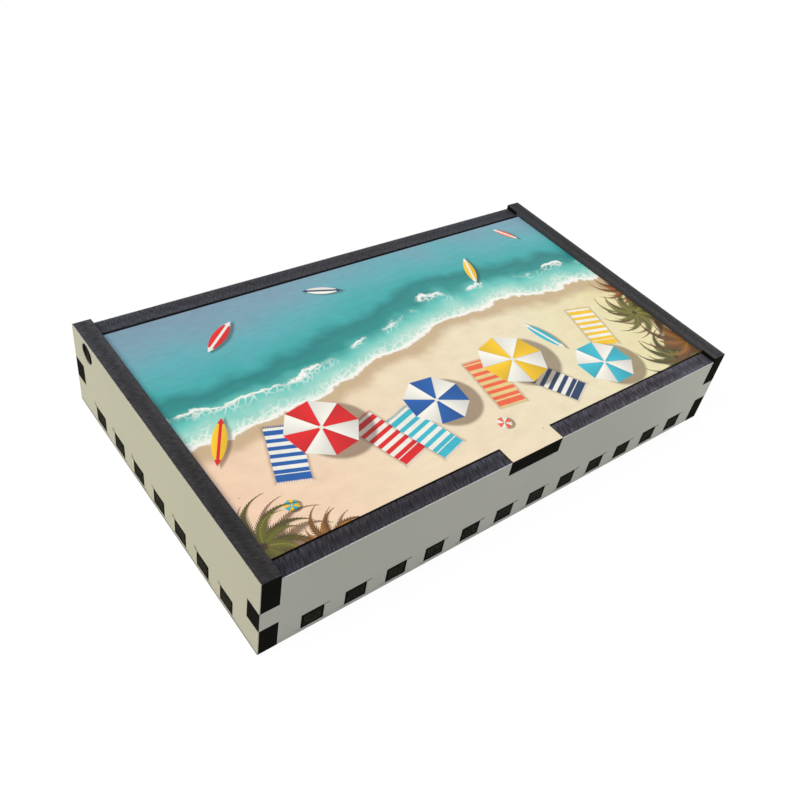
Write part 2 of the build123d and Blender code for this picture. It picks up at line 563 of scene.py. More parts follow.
@motif(MotifKind.SUNSHADE)
def sunshade_group(graph: Graph, given: SimpleNamespace) -> dict[str, Wire]:
    """Paint a round sunshade of eight gores with its shadow on the sand."""
    radius = given.half_length
    below_x, below_y, _ = graph.split(graph.moved(given.spot, radius * 0.3, radius * -0.26))
    away = graph.reach(below_x, below_y)
    cast = darker(graph, given.under, graph.fade(away, radius * 1.04, radius * 0.9) * 0.75)
    x, y, _ = graph.split(graph.turned(given.spot, given.turn))
    reach = graph.reach(x, y)
    gore = math.tau / 8
    angle = (graph.maths("ARCTAN2", y, x) + math.tau) / gore
    number = graph.maths("FLOOR", angle)
    lean = (angle - number - 0.5) * gore
    rim = radius * (math.cos(gore / 2) * 0.98) / graph.maths("COSINE", lean)
    cloth = graph.mix(graph.maths("MODULO", number, 2.0), given.first, given.second)
    seam = graph.fade(reach * (gore / 2 - abs(lean)), 0.0, 0.3, 0.78, 1.0)
    fold = 1.0 - lean * 0.28 - graph.fade(reach / radius, 0.2, 1.0) * 0.1
    sun_x, sun_y, _ = graph.split(given.spot)
    sunlit = 1.0 + (sun_y - sun_x) / radius * 0.07
    cloth = graph.dimmed(cloth, seam * fold * sunlit)
    cloth = graph.mix(graph.fade(reach, radius * 0.075, radius * 0.055), cloth, linear((236, 232, 220)))
    return {"Colour": graph.mix(inside(graph, reach - rim, 0.14), cast, cloth)}


@motif(MotifKind.TOWEL)
def towel_group(graph: Graph, given: SimpleNamespace) -> dict[str, Wire]:
    """Paint a striped towel with fringed ends, a little crumpled."""
    x, y, _ = graph.split(graph.turned(given.spot, given.turn))
    wobble = graph.noise(given.spot, 0.22, 2.0) * 0.9 - 0.45
    side = abs(x + wobble) - given.half_width
    end = abs(y + wobble) - given.half_length
    outside = side.at_least(end)
    cast = darker(graph, given.under, graph.fade(outside, 1.3, -0.3) * 0.6)
    stripe = graph.fade(graph.maths("SINE", y * 2.1), -0.25, 0.25)
    band = graph.fade(abs(abs(y) - given.half_length * 0.82), 0.9, 0.7)
    cloth = graph.mix(band, graph.mix(stripe, given.first, given.second), given.first)
    weave = graph.noise(given.spot, 2.6, 2.0)
    creases = graph.noise(graph.join(x * 0.25, y * 0.12, given.turn), 1.0, 3.0, 0.6)
    cloth = graph.dimmed(cloth, 0.72 + creases * 0.36 + weave * 0.16)
    fringe = graph.fade(graph.maths("SINE", x * 9.0), -0.2, 0.4)
    fringe = fringe * graph.fade(end, 0.95, 0.75) * graph.fade(side, 0.1, -0.1)
    return {"Colour": graph.mix(inside(graph, outside).at_least(fringe * 0.85), cast, cloth)}


@motif(MotifKind.HULL)
def hull_group(graph: Graph, given: SimpleNamespace) -> dict[str, Wire]:
    """Paint a slim pointed board or boat with a stripe down its middle."""
    x, y, _ = graph.split(graph.turned(given.spot, given.turn))
    way = y / given.half_length
    outside = abs(x) - given.half_width * (1.0 - way * way)
    below_x, below_y, _ = graph.split(graph.turned(graph.moved(given.spot, 0.8, -0.8), given.turn))
    low = below_y / given.half_length
    below = abs(below_x) - given.half_width * (1.0 - low * low)
    cast = darker(graph, given.under, graph.fade(below, 0.8, -0.4) * 0.7)
    body = graph.mix(graph.fade(abs(x), 0.55, 0.35), given.first, given.second)
    body = graph.mix(graph.fade(abs(way), 0.72, 0.76), body, given.second)
    level = 0.92 + x / given.half_width * -0.14 + graph.noise(given.spot, 0.8) * 0.08
    return {"Colour": graph.mix(inside(graph, outside), cast, graph.dimmed(body, level))}


@motif(MotifKind.PALM)
def palm_group(graph: Graph, given: SimpleNamespace) -> dict[str, Wire]:
    """Paint a palm crown from above: two rings of feathered fronds over their shadow."""
    frond = frond_group()
    spot, radius, turn = given.spot, given.half_length, given.turn
    below = graph.moved(spot, radius * 0.2, radius * -0.18)
    shadow = graph.use(frond, Spot=below, Turn=turn, Radius=radius, Count=10.0)
    colour = darker(graph, given.under, shadow["Cover"] * 0.9)
    lower = graph.use(frond, Spot=spot, Turn=turn, Radius=radius, Count=10.0)
    upper = graph.use(frond, Spot=spot, Turn=turn + 0.31, Radius=radius * 0.78, Count=8.0)
    dark = graph.mix(lower["Light"], given.second, graph.mix(0.55, given.second, given.first))
    colour = graph.mix(lower["Cover"], colour, dark)
    bright = graph.mix(upper["Light"], graph.mix(0.4, given.second, given.first), given.first)
    bright = graph.mix(graph.fade(upper["Light"], 0.7, 1.0) * 0.5, bright, linear((206, 178, 84)))
    colour = graph.mix(upper["Cover"], colour, bright)
    x, y, _ = graph.split(spot)
    heart = graph.fade(graph.reach(x, y), radius * 0.09, radius * 0.04)
    return {"Colour": graph.mix(heart, colour, linear((70, 50, 26)))}


@grouped(
    "frond_ring",
    {"Spot": "Vector", "Turn": "Float", "Radius": "Float", "Count": "Float"},
    {"Cover": "Float", "Light": "Float"},
)
def frond_group(graph: Graph, given: SimpleNamespace) -> dict[str, Wire]:
    """Paint one ring of fronds, each with its own length, bend and light."""
    x, y, _ = graph.split(graph.turned(given.spot, given.turn))
    reach = graph.reach(x, y)
    share = reach / given.radius
    angle = (graph.maths("ARCTAN2", y, x) + share * share * 0.8 + math.tau) * given.count / math.tau
    number = graph.maths("FLOOR", angle)
    own = graph.chance(number + given.turn * 7.0)
    lean = (angle - number - 0.5) * math.tau / given.count + (own - 0.5) * 0.12
    way = share / (0.8 + own * 0.2)
    side = abs(reach * lean)
    wide = given.radius * 0.13 * graph.fade(way, 0.02, 0.22, 0.3, 1.0)
    wide = wide * graph.fade(way, 1.04, 0.25, 0.12, 1.0)
    comb = graph.maths("SINE", (reach - side * 1.5) * 7.5)
    cover = inside(graph, side - wide * (0.72 + comb * 0.28), 0.14) * graph.fade(way, 1.02, 0.97)
    rib = graph.fade(side, 0.34, 0.1)
    light = 0.28 + own * 0.3 + comb * 0.16 + rib * 0.35 - graph.fade(reach * lean, -0.8, 0.8) * 0.14
    return {"Cover": cover, "Light": light.at_least(0.0)}


# Finishes


class Effects:
    """The shared node groups, each built once, and what is done with them."""

    def __init__(self) -> None:
        """Build every group."""
        self.hatch = hatch_group()
        self.mottle = mottle_group()
        self.specks = speck_group()
        self.ticks = tick_group()
        self.beach = beach_group(self)
        self.motifs = {
            MotifKind.TOWEL: towel_group(),
            MotifKind.HULL: hull_group(),
            MotifKind.SUNSHADE: sunshade_group(),
            MotifKind.PALM: palm_group(),
        }

    def mottled(self, graph: Graph, point: Wire, tones: tuple[Tone, ...], amount: float) -> dict[str, Wire]:
        """Drift slowly between a tone, a second one and a stain."""
        tone, drift, stain = (linear(each) for each in tones)
        return graph.use(self.mottle, Point=point, Tone=tone, Drift=drift, Stain=stain, Amount=amount)

    def specked(
        self, graph: Graph, point: Wire, under: Wire, tone: Tone,
        cover: float, spacing: float, size: float, share: float,
    ) -> Wire:
        """Scatter specks over a colour.

        Args:
            graph: The graph that paints.
            point: The point on the piece.
            under: The colour under the specks.
            tone: The specks' colour.
            cover: How much they hide, 0 to 1.
            spacing: The distance from one to the next, in the point's own units.
            size: Their size, in the same units.
            share: How many of their places are taken, 0 to 1.

        Returns:
            The specked colour.
        """
        mask = graph.use(self.specks, Point=point, Spacing=spacing, Size=size, Share=share)["Mask"]
        return graph.mix(mask * cover, under, linear(tone))


@dataclass(frozen=True)
class Finish:
    """What every finish says of its shader: the constants that stay on its own sockets."""

    name: str
    roughness: float = 0.6
    shine: float = 0.5

    def look(self, graph: Graph, effects: Effects) -> dict[str, Wire]:
        """Paint the finish, and name the shader's inputs that it feeds."""
        raise NotImplementedError

    def make(self, effects: Effects) -> bpy.types.Material:
        """Make the material.

        Args:
            effects: The shared groups.

        Returns:
            The material, with one Principled shader.
        """
        material = bpy.data.materials.new(self.name)
        material.use_nodes = True
        graph = Graph(material.node_tree)
        shader = material.node_tree.nodes["Principled BSDF"]
        graph.feed(shader.inputs["Roughness"], self.roughness)
        graph.feed(shader.inputs["Specular IOR Level"], self.shine)
        for name, value in self.look(graph, effects).items():
            graph.feed(shader.inputs[name], value)
        return material


@dataclass(frozen=True)
class CoatFinish(Finish):
    """The pale satin coat on the outside of the walls."""

    tones: tuple[Tone, ...] = ((180, 180, 169), (176, 178, 164), (184, 180, 168))
    wear_and_highlight: Tone = (210, 210, 198)
    burnt: Tone = (92, 86, 70)
    foot_shade_tone: Tone = (46, 42, 32)
    dust: Tone = (120, 116, 98)
    along: Direction = (1.0, 0.0, 0.0)
    slot_low: float = 0.0
    slot_top: float = 0.0
    tick_place: float = 0.0
    tick_step: float = 0.0
    tick_reach: float = 0.0
    tick_lean: float = 3.2
    tick_height: float = 0.45 * MM
    tick_width: float = 0.54 * MM
    tick_tone: Tone = (50, 45, 34)
    shaded_foot: float = 0.0
    # Painted light: the coat grows lighter along the wall between these places, by this gain
    painted_light_start: float = 35.0 * MM
    painted_light_end: float = 100.0 * MM
    painted_light_gain: float = 1.2

    def look(self, graph: Graph, effects: Effects) -> dict[str, Wire]:
        """Paint the coat with its drifts, painted light that grows towards one end, rims pale with wear and
        a painted highlight, burnt rims, scorched ticks, painted shade along the bottom, and dust.
        """
        point = graph.place()
        mottle = effects.mottled(graph, point, self.tones, 0.9)
        place, height = graph.dot(point, self.along), graph.split(point)[2]
        # Painted light: the coat is lightened towards one end of the wall
        pale = graph.fade(place, self.painted_light_start, self.painted_light_end, 1.0, self.painted_light_gain)
        rim = graph.attribute("rim")
        patchy = graph.fade(graph.noise(point, 700.0, 2.0), 0.35, 0.65, 0.25, 0.7)
        colour = graph.dimmed(mottle["Colour"], pale)
        # The outline's rim: wear and a painted highlight along the edge of the coat
        colour = graph.mix(rim.at_least(0.0) * 0.6, colour, linear(self.wear_and_highlight))
        colour = graph.mix((-rim).at_least(0.0) * patchy, colour, linear(self.burnt))
        colour = graph.mix(self.ticks(graph, effects, place, height) * 0.9, colour, linear(self.tick_tone))
        # Painted shade: the coat darkens along its bottom edge, where it meets the floor
        in_foot_shade = graph.fade(height, self.shaded_foot - 0.1 * MM, self.shaded_foot, 0.9, 0.0)
        colour = graph.mix(in_foot_shade, colour, linear(self.foot_shade_tone))
        return {
            "Base Color": effects.specked(
                graph, point, colour, self.dust, 0.35, 6.0 * MM, 0.16 * MM, 0.2
            ),
            "Roughness": graph.fade(mottle["Grain"], 0.25, 0.75, 0.46, 0.6),
            "Normal": graph.bump(mottle["Grain"], 0.02 * MM, 0.35),
        }

    def ticks(self, graph: Graph, effects: Effects, place: Wire, height: Wire) -> Wire:
        """Mark where the laser started each slot: a tick above its corner, and a fainter one below.

        Args:
            graph: The material's graph.
            effects: The shared groups.
            place: The place along the wall.
            height: The height above the ground.

        Returns:
            The ticks' mask.
        """
        run = place - self.tick_place
        row = {"Step": self.tick_step, "Width": self.tick_width}
        above = graph.use(
            effects.ticks, Run=run, Rise=height - self.slot_top,
            Lean=self.tick_lean, Length=self.tick_height, **row,
        )["Mask"]
        below = graph.use(
            effects.ticks, Run=run + self.tick_step / 2, Rise=self.slot_low - height,
            Lean=-self.tick_lean, Length=self.tick_height * 0.55, **row,
        )["Mask"]
        return above.at_least(below * 0.6) * graph.maths("LESS_THAN", abs(place), self.tick_reach)


@dataclass(frozen=True)
class CutFinish(Finish):
    """A surface that the laser has cut: stripes of soot across the board's thickness."""

    dark: Tone = (17, 17, 22)
    light: Tone = (58, 58, 68)
    speck: Tone = (118, 118, 126)
    along: Direction = (1.0, 0.0, 0.0)
    pitch: float = 0.27 * MM
    contrast: float = 1.8
    relief: float = 0.02 * MM
    speck_share: float = 0.2
    stroke: float = 4.6 * MM

    def shaded(self, graph: Graph, point: Wire, colour: Wire) -> Wire:
        """Give the cut's colour as it stands, with no slow change over the board."""
        return colour

    def look(self, graph: Graph, effects: Effects) -> dict[str, Wire]:
        """Paint the striped cut, with its relief and a few caught specks."""
        point = graph.place()
        shade = graph.use(
            effects.hatch, Point=point, Along=self.along, Pitch=self.pitch, Stroke=self.stroke,
            Contrast=self.contrast,
        )["Shade"]
        scorched = graph.fade(graph.noise(point, 22.0, 2.0), 0.4, 0.68)
        colour = graph.ramp(shade, [(0.0, self.dark), (1.0, self.light)])
        colour = graph.mix(scorched * 0.7, colour, graph.tinted(colour, linear((250, 236, 224))))
        colour = self.shaded(graph, point, colour)
        return {
            "Base Color": effects.specked(
                graph, point, colour, self.speck, 0.7, 3.4 * MM, 0.2 * MM, self.speck_share
            ),
            "Roughness": graph.fade(shade, 0.0, 1.0, self.roughness - 0.06, self.roughness + 0.06),
            "Normal": graph.bump(shade, self.relief, 0.6),
        }


@dataclass(frozen=True)
class CoatEdgeFinish(CutFinish):
    """The cut through a coat, which stays pale."""

    roughness: float = 0.5
    shine: float = 0.4
    pitch: float = 0.7 * MM
    contrast: float = 1.2
    speck_share: float = 0.1


@dataclass(frozen=True)
class CharFinish(CutFinish):
    """A cut that is burnt to soot."""

    roughness: float = 0.8
    shine: float = 0.03
    along: Direction = (1.0, 1.0, 0.04)
    relief: float = 0.03 * MM
    speck_share: float = 0.04


@dataclass(frozen=True)
class RimFinish(CutFinish):
    """The top edge of a wall: a cut painted lighter than the upright cuts for the light on it, paler along
    both its sides, with a painted sheen that changes slowly along it.
    """

    roughness: float = 0.62
    shine: float = 0.12
    across: Direction = (0.0, 1.0, 0.0)
    middle: float = 0.0
    side_gain: float = 1.4
    # The painted sheen: the rim's tint at each end, and where along it the change runs
    low_place: float = -60.0 * MM
    high_place: float = 80.0 * MM
    low_sheen: Tone = (1.0, 1.0, 1.0)
    high_sheen: Tone = (1.0, 1.0, 1.0)

    def shaded(self, graph: Graph, point: Wire, colour: Wire) -> Wire:
        """Lighten the cut at its sides, and tint it slowly from one end to the other with a painted sheen.

        Args:
            graph: The material's graph.
            point: The point on the piece.
            colour: The striped cut.

        Returns:
            The same with its slow changes.
        """
        aside = abs(abs(graph.dot(point, self.across)) - self.middle)
        side = graph.fade(aside, 0.3 * MM, 2.2 * MM, 0.86, self.side_gain)
        # Painted sheen: the rim grows lighter or darker from one end to the other, standing in for reflected
        # light
        share = graph.fade(graph.dot(point, self.along), self.low_place, self.high_place)
        tint = graph.mix(share, (*self.low_sheen, 1.0), (*self.high_sheen, 1.0))
        return graph.dimmed(graph.tinted(colour, tint), side)


@dataclass(frozen=True)
class BoardFinish(Finish):
    """The bare dyed face of the fibreboard: matt, dark and lightly fibrous."""

    tones: tuple[Tone, ...] = ((66, 66, 70), (60, 60, 64), (72, 71, 73))
    fibre: Tone = (96, 92, 88)
    dust: Tone = (122, 118, 110)

    def look(self, graph: Graph, effects: Effects) -> dict[str, Wire]:
        """Paint the bare board with short pale fibres and dust."""
        point = graph.place()
        mottle = effects.mottled(graph, point, self.tones, 1.0)
        x, y, z = graph.split(point)
        bent = graph.join(x * 900.0 + graph.noise(point, 300.0) * 3.0, y * 1500.0, z * 1500.0)
        fibres = graph.fade(graph.noise(bent, 1.0, 3.0, 0.7), 0.57, 0.73)
        colour = graph.mix(fibres * 0.55, mottle["Colour"], linear(self.fibre))
        return {
            "Base Color": effects.specked(graph, point, colour, self.dust, 0.5, 4.5 * MM, 0.17 * MM, 0.25),
            "Normal": graph.bump(fibres, 0.03 * MM, 0.5),
        }


@dataclass(frozen=True)
class TileFinish(Finish):
    """The ivory coat of the tiles, toasted a little round each engraving."""

    tones: tuple[Tone, ...] = ((232, 229, 218), (226, 222, 208), (222, 214, 196))
    toasted: Tone = (138, 112, 78)
    dust: Tone = (150, 140, 120)

    def look(self, graph: Graph, effects: Effects) -> dict[str, Wire]:
        """Paint the coat with the toasted rings that the mesh marks."""
        point = graph.place()
        mottle = effects.mottled(graph, point, self.tones, 0.8)
        ring = graph.attribute("soot")
        patchy = graph.fade(graph.noise(point, 900.0, 2.0), 0.3, 0.7, 0.35, 1.0)
        colour = graph.mix(ring * ring * patchy * 0.8, mottle["Colour"], linear(self.toasted))
        return {
            "Base Color": effects.specked(graph, point, colour, self.dust, 0.4, 5.0 * MM, 0.14 * MM, 0.2),
            "Roughness": graph.fade(mottle["Grain"], 0.25, 0.75, 0.36, 0.5),
            "Normal": graph.bump(mottle["Grain"], 0.02 * MM, 0.3),
        }


@dataclass(frozen=True)
class PrintFinish(Finish):
    """One bay of a satin film printed with sea, surf, sand and small things, all seen from above."""

    left: float = 0.0
    right: float = 0.0

    def look(self, graph: Graph, effects: Effects) -> dict[str, Wire]:
        """Paint the beach, and over it the motifs that reach into the bay."""
        spot = graph.place(1.0 / MM)
        picture = graph.use(effects.beach, Spot=spot)["Colour"]
        for motif in BEACH:
            if motif.reaches(self.left, self.right):
                picture = graph.use(
                    effects.motifs[motif.kind],
                    Under=picture,
                    Spot=graph.moved(spot, motif.across, motif.along),
                    Turn=motif.turn,
                    Half_Width=motif.half_width,
                    Half_Length=motif.half_length,
                    First=linear(motif.first),
                    Second=linear(motif.second),
                )["Colour"]
        grain = graph.noise(spot, 3.2, 2.0, 0.6)
        return {
            "Base Color": picture,
            "Roughness": graph.fade(grain, 0.3, 0.7, 0.38, 0.5),
            "Normal": graph.bump(grain, 0.012 * MM, 0.3),
        }


# Boards

# What counts as a sharp edge, as a straight run of the outline and as a level face's normal
SHARP = math.radians(24)
STRAIGHT = math.radians(179)
LEVEL = 0.97


class Skin(Enum):
    """Which finish a face of a board has."""

    COAT = 0
    INNER = 1
    COAT_EDGE = 2
    RIM = 3
    CHAR = 4


@dataclass(frozen=True)
class Patch:
    """A rectangle on a board's sheet."""

    left: float
    right: float
    low: float
    high: float

    @classmethod
    def centred(cls, across: float, up: float, width: float, height: float) -> "Patch":
        """Make a rectangle from its middle and its size."""
        return cls(across - width / 2, across + width / 2, up - height / 2, up + height / 2)

    def grown(self, reach: float) -> "Patch":
        """Give the rectangle with its sides moved out."""
        return Patch(self.left - reach, self.right + reach, self.low - reach, self.high + reach)

    def holds(self, point: Vector) -> bool:
        """Tell whether a point lies in the rectangle."""
        return self.left < point.x < self.right and self.low < point.y < self.high


@dataclass(frozen=True)
class Bore:
    """A round hole through a board."""

    across: float
    up: float
    radius: float
    margin: float = 0.45 * MM
    sides: int = 64

    @property
    def middle(self) -> Vector:
        """The middle of the hole on the sheet."""
        return Vector((self.across, self.up, 0.0))

    def cell(self) -> Patch:
        """Give the square of sheet that the hole is cut in."""
        size = 2 * (self.radius + self.margin)
        return Patch.centred(self.across, self.up, size, size)


def of_kind(items: Iterable, kind: type) -> list:
    """Pick the vertices, edges or faces out of a mixed list."""
    return [item for item in items if isinstance(item, kind)]


def corners(items: Iterable) -> set:
    """Give the vertices of edges or faces, each once."""
    return {vert for item in items for vert in item.verts}


def sliced(mesh: Mesh, point: Vector, normal: Vector, clear: bool = False) -> list:
    """Cut a whole mesh along a plane.

    Args:
        mesh: The mesh.
        point: A point on the plane.
        normal: The plane's normal.
        clear: Whether what lies on the normal's side is taken away.

    Returns:
        The edges on the cut.
    """
    everything = mesh.verts[:] + mesh.edges[:] + mesh.faces[:]
    cut = bmesh.ops.bisect_plane(
        mesh, geom=everything, dist=TINY, plane_co=point, plane_no=normal, clear_outer=clear
    )["geom_cut"]
    return of_kind(cut, Edge)


def placed(name: str, data: bpy.types.ID) -> bpy.types.Object:
    """Put an object with this data in the scene."""
    made = bpy.data.objects.new(name, data)
    bpy.context.scene.collection.objects.link(made)
    return made


def finished(name: str, mesh: Mesh, materials: list[bpy.types.Material]) -> bpy.types.Object:
    """Turn a bmesh that is already in place into a piece at the origin.

    Args:
        name: The piece's name.
        mesh: Its shape, which is freed.
        materials: Its finishes, in the order of its faces' numbers.

    Returns:
        The new object.
    """
    bmesh.ops.recalc_face_normals(mesh, faces=mesh.faces[:])
    for face in mesh.faces:
        face.smooth = True
    data = bpy.data.meshes.new(name)
    mesh.to_mesh(data)
    mesh.free()
    data.set_sharp_from_angle(angle=SHARP)
    for material in materials:
        data.materials.append(material)
    return placed(name, data)


def attach(piece: bpy.types.Object, body: str, slot: str, *nodes: str) -> None:
    """Put a piece on the body that carries it, and hide the nodes that it stands for.

    Args:
        piece: The piece.
        body: The body that carries it.
        slot: Not used.
        *nodes: The nodes that it replaces.
    """
    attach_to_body(piece, body)
    if nodes:
        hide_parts(*nodes)
    log.info("%s: %d faces, on %s", piece.name, len(piece.data.polygons), body)


@dataclass
class Board:
    """A laser-cut board: a flat sheet with openings, thickened, with an eased and slightly striped cut."""

    name: str
    thickness: float
    keep: list[Patch]
    cuts: list[Patch] = field(default_factory=list)
    bores: list[Bore] = field(default_factory=list)
    place: Matrix = field(default_factory=Matrix)
    coat: float = 0.0
    ripple: float = 0.035 * MM
    ripple_step: float = 0.36 * MM
    ease_width: float = 0.08 * MM
    ease_depth: float = 0.05 * MM
    marked_band_width: float = 0.16 * MM
    seed: int = 1

    def sheet(self) -> Mesh:
        """Cut the flat outline out of one rectangle."""
        lines = self.keep + self.cuts + [bore.cell() for bore in self.bores]
        columns = sorted({round(edge, DIGITS) for patch in lines for edge in (patch.left, patch.right)})
        rows = sorted({round(edge, DIGITS) for patch in lines for edge in (patch.low, patch.high)})
        mesh = bmesh.new()
        mesh.verts.layers.float.new("rim")
        bmesh.ops.create_grid(mesh, x_segments=1, y_segments=1, size=0.5)
        bmesh.ops.scale(mesh, vec=(columns[-1] - columns[0], rows[-1] - rows[0], 1.0), verts=mesh.verts[:])
        middle = ((columns[-1] + columns[0]) / 2, (rows[-1] + rows[0]) / 2, 0.0)
        bmesh.ops.translate(mesh, vec=middle, verts=mesh.verts[:])
        for axis, places in ((Vector((1, 0, 0)), columns), (Vector((0, 1, 0)), rows)):
            for spot in places[1:-1]:
                sliced(mesh, axis * spot, axis)
        waste = []
        for face in mesh.faces:
            centre = face.calc_center_median()
            kept = any(patch.holds(centre) for patch in self.keep)
            if not kept or any(patch.holds(centre) for patch in self.cuts):
                waste.append(face)
        bmesh.ops.delete(mesh, geom=waste, context="FACES")
        for bore in self.bores:
            self.bore_out(mesh, bore)
        return mesh

    def bore_out(self, mesh: Mesh, bore: Bore) -> None:
        """Open a round hole in its own square of sheet.

        Args:
            mesh: The flat sheet.
            bore: The hole.
        """
        square = [face for face in mesh.faces if bore.cell().holds(face.calc_center_median())]
        edges = {edge for face in square for edge in face.edges}
        border = {edge for edge in edges if len(set(edge.link_faces) & set(square)) == 1}
        bmesh.ops.delete(mesh, geom=square, context="FACES_ONLY")
        bmesh.ops.delete(mesh, geom=list(edges - border), context="EDGES")
        where = Matrix.Translation(bore.middle)
        ring = bmesh.ops.create_circle(mesh, segments=bore.sides, radius=bore.radius, matrix=where)["verts"]
        circle = {edge for vert in ring for edge in vert.link_edges}
        bmesh.ops.triangle_fill(mesh, use_beauty=True, use_dissolve=False, edges=list(border | circle))

    def stripe_cut(self, mesh: Mesh) -> None:
        """Divide the cut line and nudge it inwards here and there, as the laser's steps do."""
        draw = random.Random(self.seed)
        straight = [edge for edge in mesh.edges if edge.is_boundary and not self.on_bore(edge)]
        for edge in straight:
            parts = max(1, round(edge.calc_length() / self.ripple_step))
            start = edge.verts[0]
            for left in range(parts, 1, -1):
                _, start = bmesh.utils.edge_split(edge, start, 1.0 / left)
        moves = []
        for vert in mesh.verts:
            rims = [edge for edge in vert.link_edges if edge.is_boundary]
            if len(rims) != 2:
                continue
            ways = [edge.other_vert(vert).co - vert.co for edge in rims]
            if ways[0].angle(ways[1]) > STRAIGHT:
                loop = rims[0].link_loops[0]
                along = loop.link_loop_next.vert.co - loop.vert.co
                inward = loop.face.normal.cross(along).normalized()
                moves.append((vert, inward * draw.random() * self.ripple))
        for vert, move in moves:
            vert.co += move

    def on_bore(self, edge: Edge) -> bool:
        """Tell whether an edge belongs to a round hole."""
        centre = (edge.verts[0].co + edge.verts[1].co) / 2
        return any((centre - bore.middle).length < bore.radius + TINY for bore in self.bores)

    def raised(self, mesh: Mesh, faces: list, height: float, keep: bool) -> list:
        """Pull faces up by a height and return them where they end."""
        region = list({item for face in faces for item in (face, *face.edges, *face.verts)})
        made = bmesh.ops.extrude_face_region(mesh, geom=region, use_keep_orig=keep)["geom"]
        bmesh.ops.translate(mesh, vec=(0.0, 0.0, height), verts=of_kind(made, Vert))
        return of_kind(made, Face)

    def eased(self, mesh: Mesh, faces: list) -> None:
        """Ease the rim of a face region and mark it: pale at the outline, for wear and a painted highlight,
        and burnt at the openings.
        """
        even = {"use_boundary": True, "use_even_offset": True}
        bmesh.ops.inset_region(mesh, faces=faces, thickness=self.ease_width, depth=self.ease_depth, **even)
        rim = mesh.verts.layers.float["rim"]
        region = set(faces)
        reach = self.ease_width + self.ripple + TINY
        openings = [patch.grown(reach) for patch in self.cuts + [bore.cell() for bore in self.bores]]
        for vert in corners(faces):
            if any(face not in region for face in vert.link_faces):
                vert[rim] = -1.0 if any(patch.holds(vert.co) for patch in openings) else 1.0
        bmesh.ops.inset_region(mesh, faces=faces, thickness=self.marked_band_width, depth=0.0, **even)
        for vert in corners(faces):
            vert[rim] = 0.0

    def build(self) -> Mesh:
        """Make the board's solid, numbered by finish and put in its place.

        Returns:
            The finished bmesh in the box's own frame.
        """
        mesh = self.sheet()
        if self.ripple > 0:
            self.stripe_cut(mesh)
        bmesh.ops.recalc_face_normals(mesh, faces=mesh.faces[:])
        bmesh.ops.translate(mesh, vec=(0, 0, self.ease_depth), verts=mesh.verts[:])
        under = mesh.faces[:]
        core = self.thickness - self.coat - (self.ease_depth if self.coat == 0 else 0)
        top = self.raised(mesh, under, core - self.ease_depth, True)
        if self.coat > 0:
            top = self.raised(mesh, top, self.coat - self.ease_depth, False)
        bmesh.ops.recalc_face_normals(mesh, faces=mesh.faces[:])
        self.eased(mesh, top)
        self.eased(mesh, under)
        self.number_faces(mesh, core)
        bmesh.ops.transform(mesh, matrix=self.place, verts=mesh.verts[:])
        return mesh

    def number_faces(self, mesh: Mesh, core: float) -> None:
        """Number each face by the finish it takes, from where it is and which way it looks."""
        mesh.normal_update()
        for face in mesh.faces:
            height = face.calc_center_median().z
            if abs(face.normal.z) > LEVEL:
                skin = Skin.COAT if height > core and self.coat > 0 else Skin.INNER
            elif self.coat > 0 and height > core:
                skin = Skin.COAT_EDGE
            # Level cuts take the lighter rim finish and upright cuts the near-black char: laser soot on
            # both, with painted light on the level cuts and painted shade on the upright ones
            elif abs(face.normal.y) > abs(face.normal.x):
                skin = Skin.RIM
            else:
                skin = Skin.CHAR
            face.material_index = skin.value


# The box

HINGE = frame["joints"][0]["pos_m"]


@dataclass(frozen=True)
class BoxSizes:
    """The sizes that the boards share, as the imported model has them."""

    inner_length: float = 178.2 * MM
    inner_width: float = 101.2 * MM
    board: float = 6.0 * MM
    base_lift: float = 1.5 * MM
    long_wall_height: float = 29.3 * MM
    end_wall_height: float = 31.0 * MM
    finger_low: float = 10.7 * MM
    finger_height: float = 7.7 * MM
    joint_gap: float = 0.05 * MM
    long_tab_count: int = 12
    short_tab_count: int = 7
    tab_margin: float = 7.3 * MM
    hinge_y: float = HINGE[1]
    hinge_z: float = HINGE[2]
    hinge_hole_radius: float = 3.444 * MM
    notch_floor: float = 23.65 * MM
    lid_side: float = 88.85 * MM
    lid_front: float = -50.3 * MM
    lid_back: float = 49.634 * MM
    lid_underside: float = 23.7 * MM
    tongue_width: float = 21.2 * MM
    ear_width: float = 3.0 * MM
    ear_end: float = 94.9 * MM
    back_edge_radius: float = 1.0 * MM

    @property
    def box_length(self) -> float:
        """Outside length."""
        return self.inner_length + 2 * self.board

    @property
    def box_width(self) -> float:
        """Outside width."""
        return self.inner_width + 2 * self.board

    @property
    def lid_top(self) -> float:
        """Height of the print's surface."""
        return self.lid_underside + self.board

    @property
    def long_tab(self) -> float:
        """Width of a base tab along the front and back."""
        return (self.inner_length - 2 * self.tab_margin) / (2 * self.long_tab_count - 1)

    @property
    def short_tab(self) -> float:
        """Width of a base tab along the ends."""
        return (self.inner_width - 2 * self.tab_margin) / (2 * self.short_tab_count - 1)

    @property
    def notch_half(self) -> float:
        """Half the width of the notch for the lid's tongue, which ends where the middle slots do."""
        return 1.5 * self.long_tab + self.joint_gap

    def tab_places(self, count: int, width: float) -> list[float]:
        """Give the middles of a row of tabs."""
        return [(number - (count - 1) / 2) * 2 * width for number in range(count)]


class Side(Enum):
    """A wall of the box, with the direction that it looks in."""

    FRONT = (0, -1, 0)
    BACK = (0, 1, 0)
    LEFT = (-1, 0, 0)
    RIGHT = (1, 0, 0)

    @property
    def outward(self) -> Vector:
        """The direction that the coated face looks in."""
        return Vector(self.value)

    @property
    def long(self) -> bool:
        """Whether it is a wall between the ends."""
        return self in (Side.FRONT, Side.BACK)


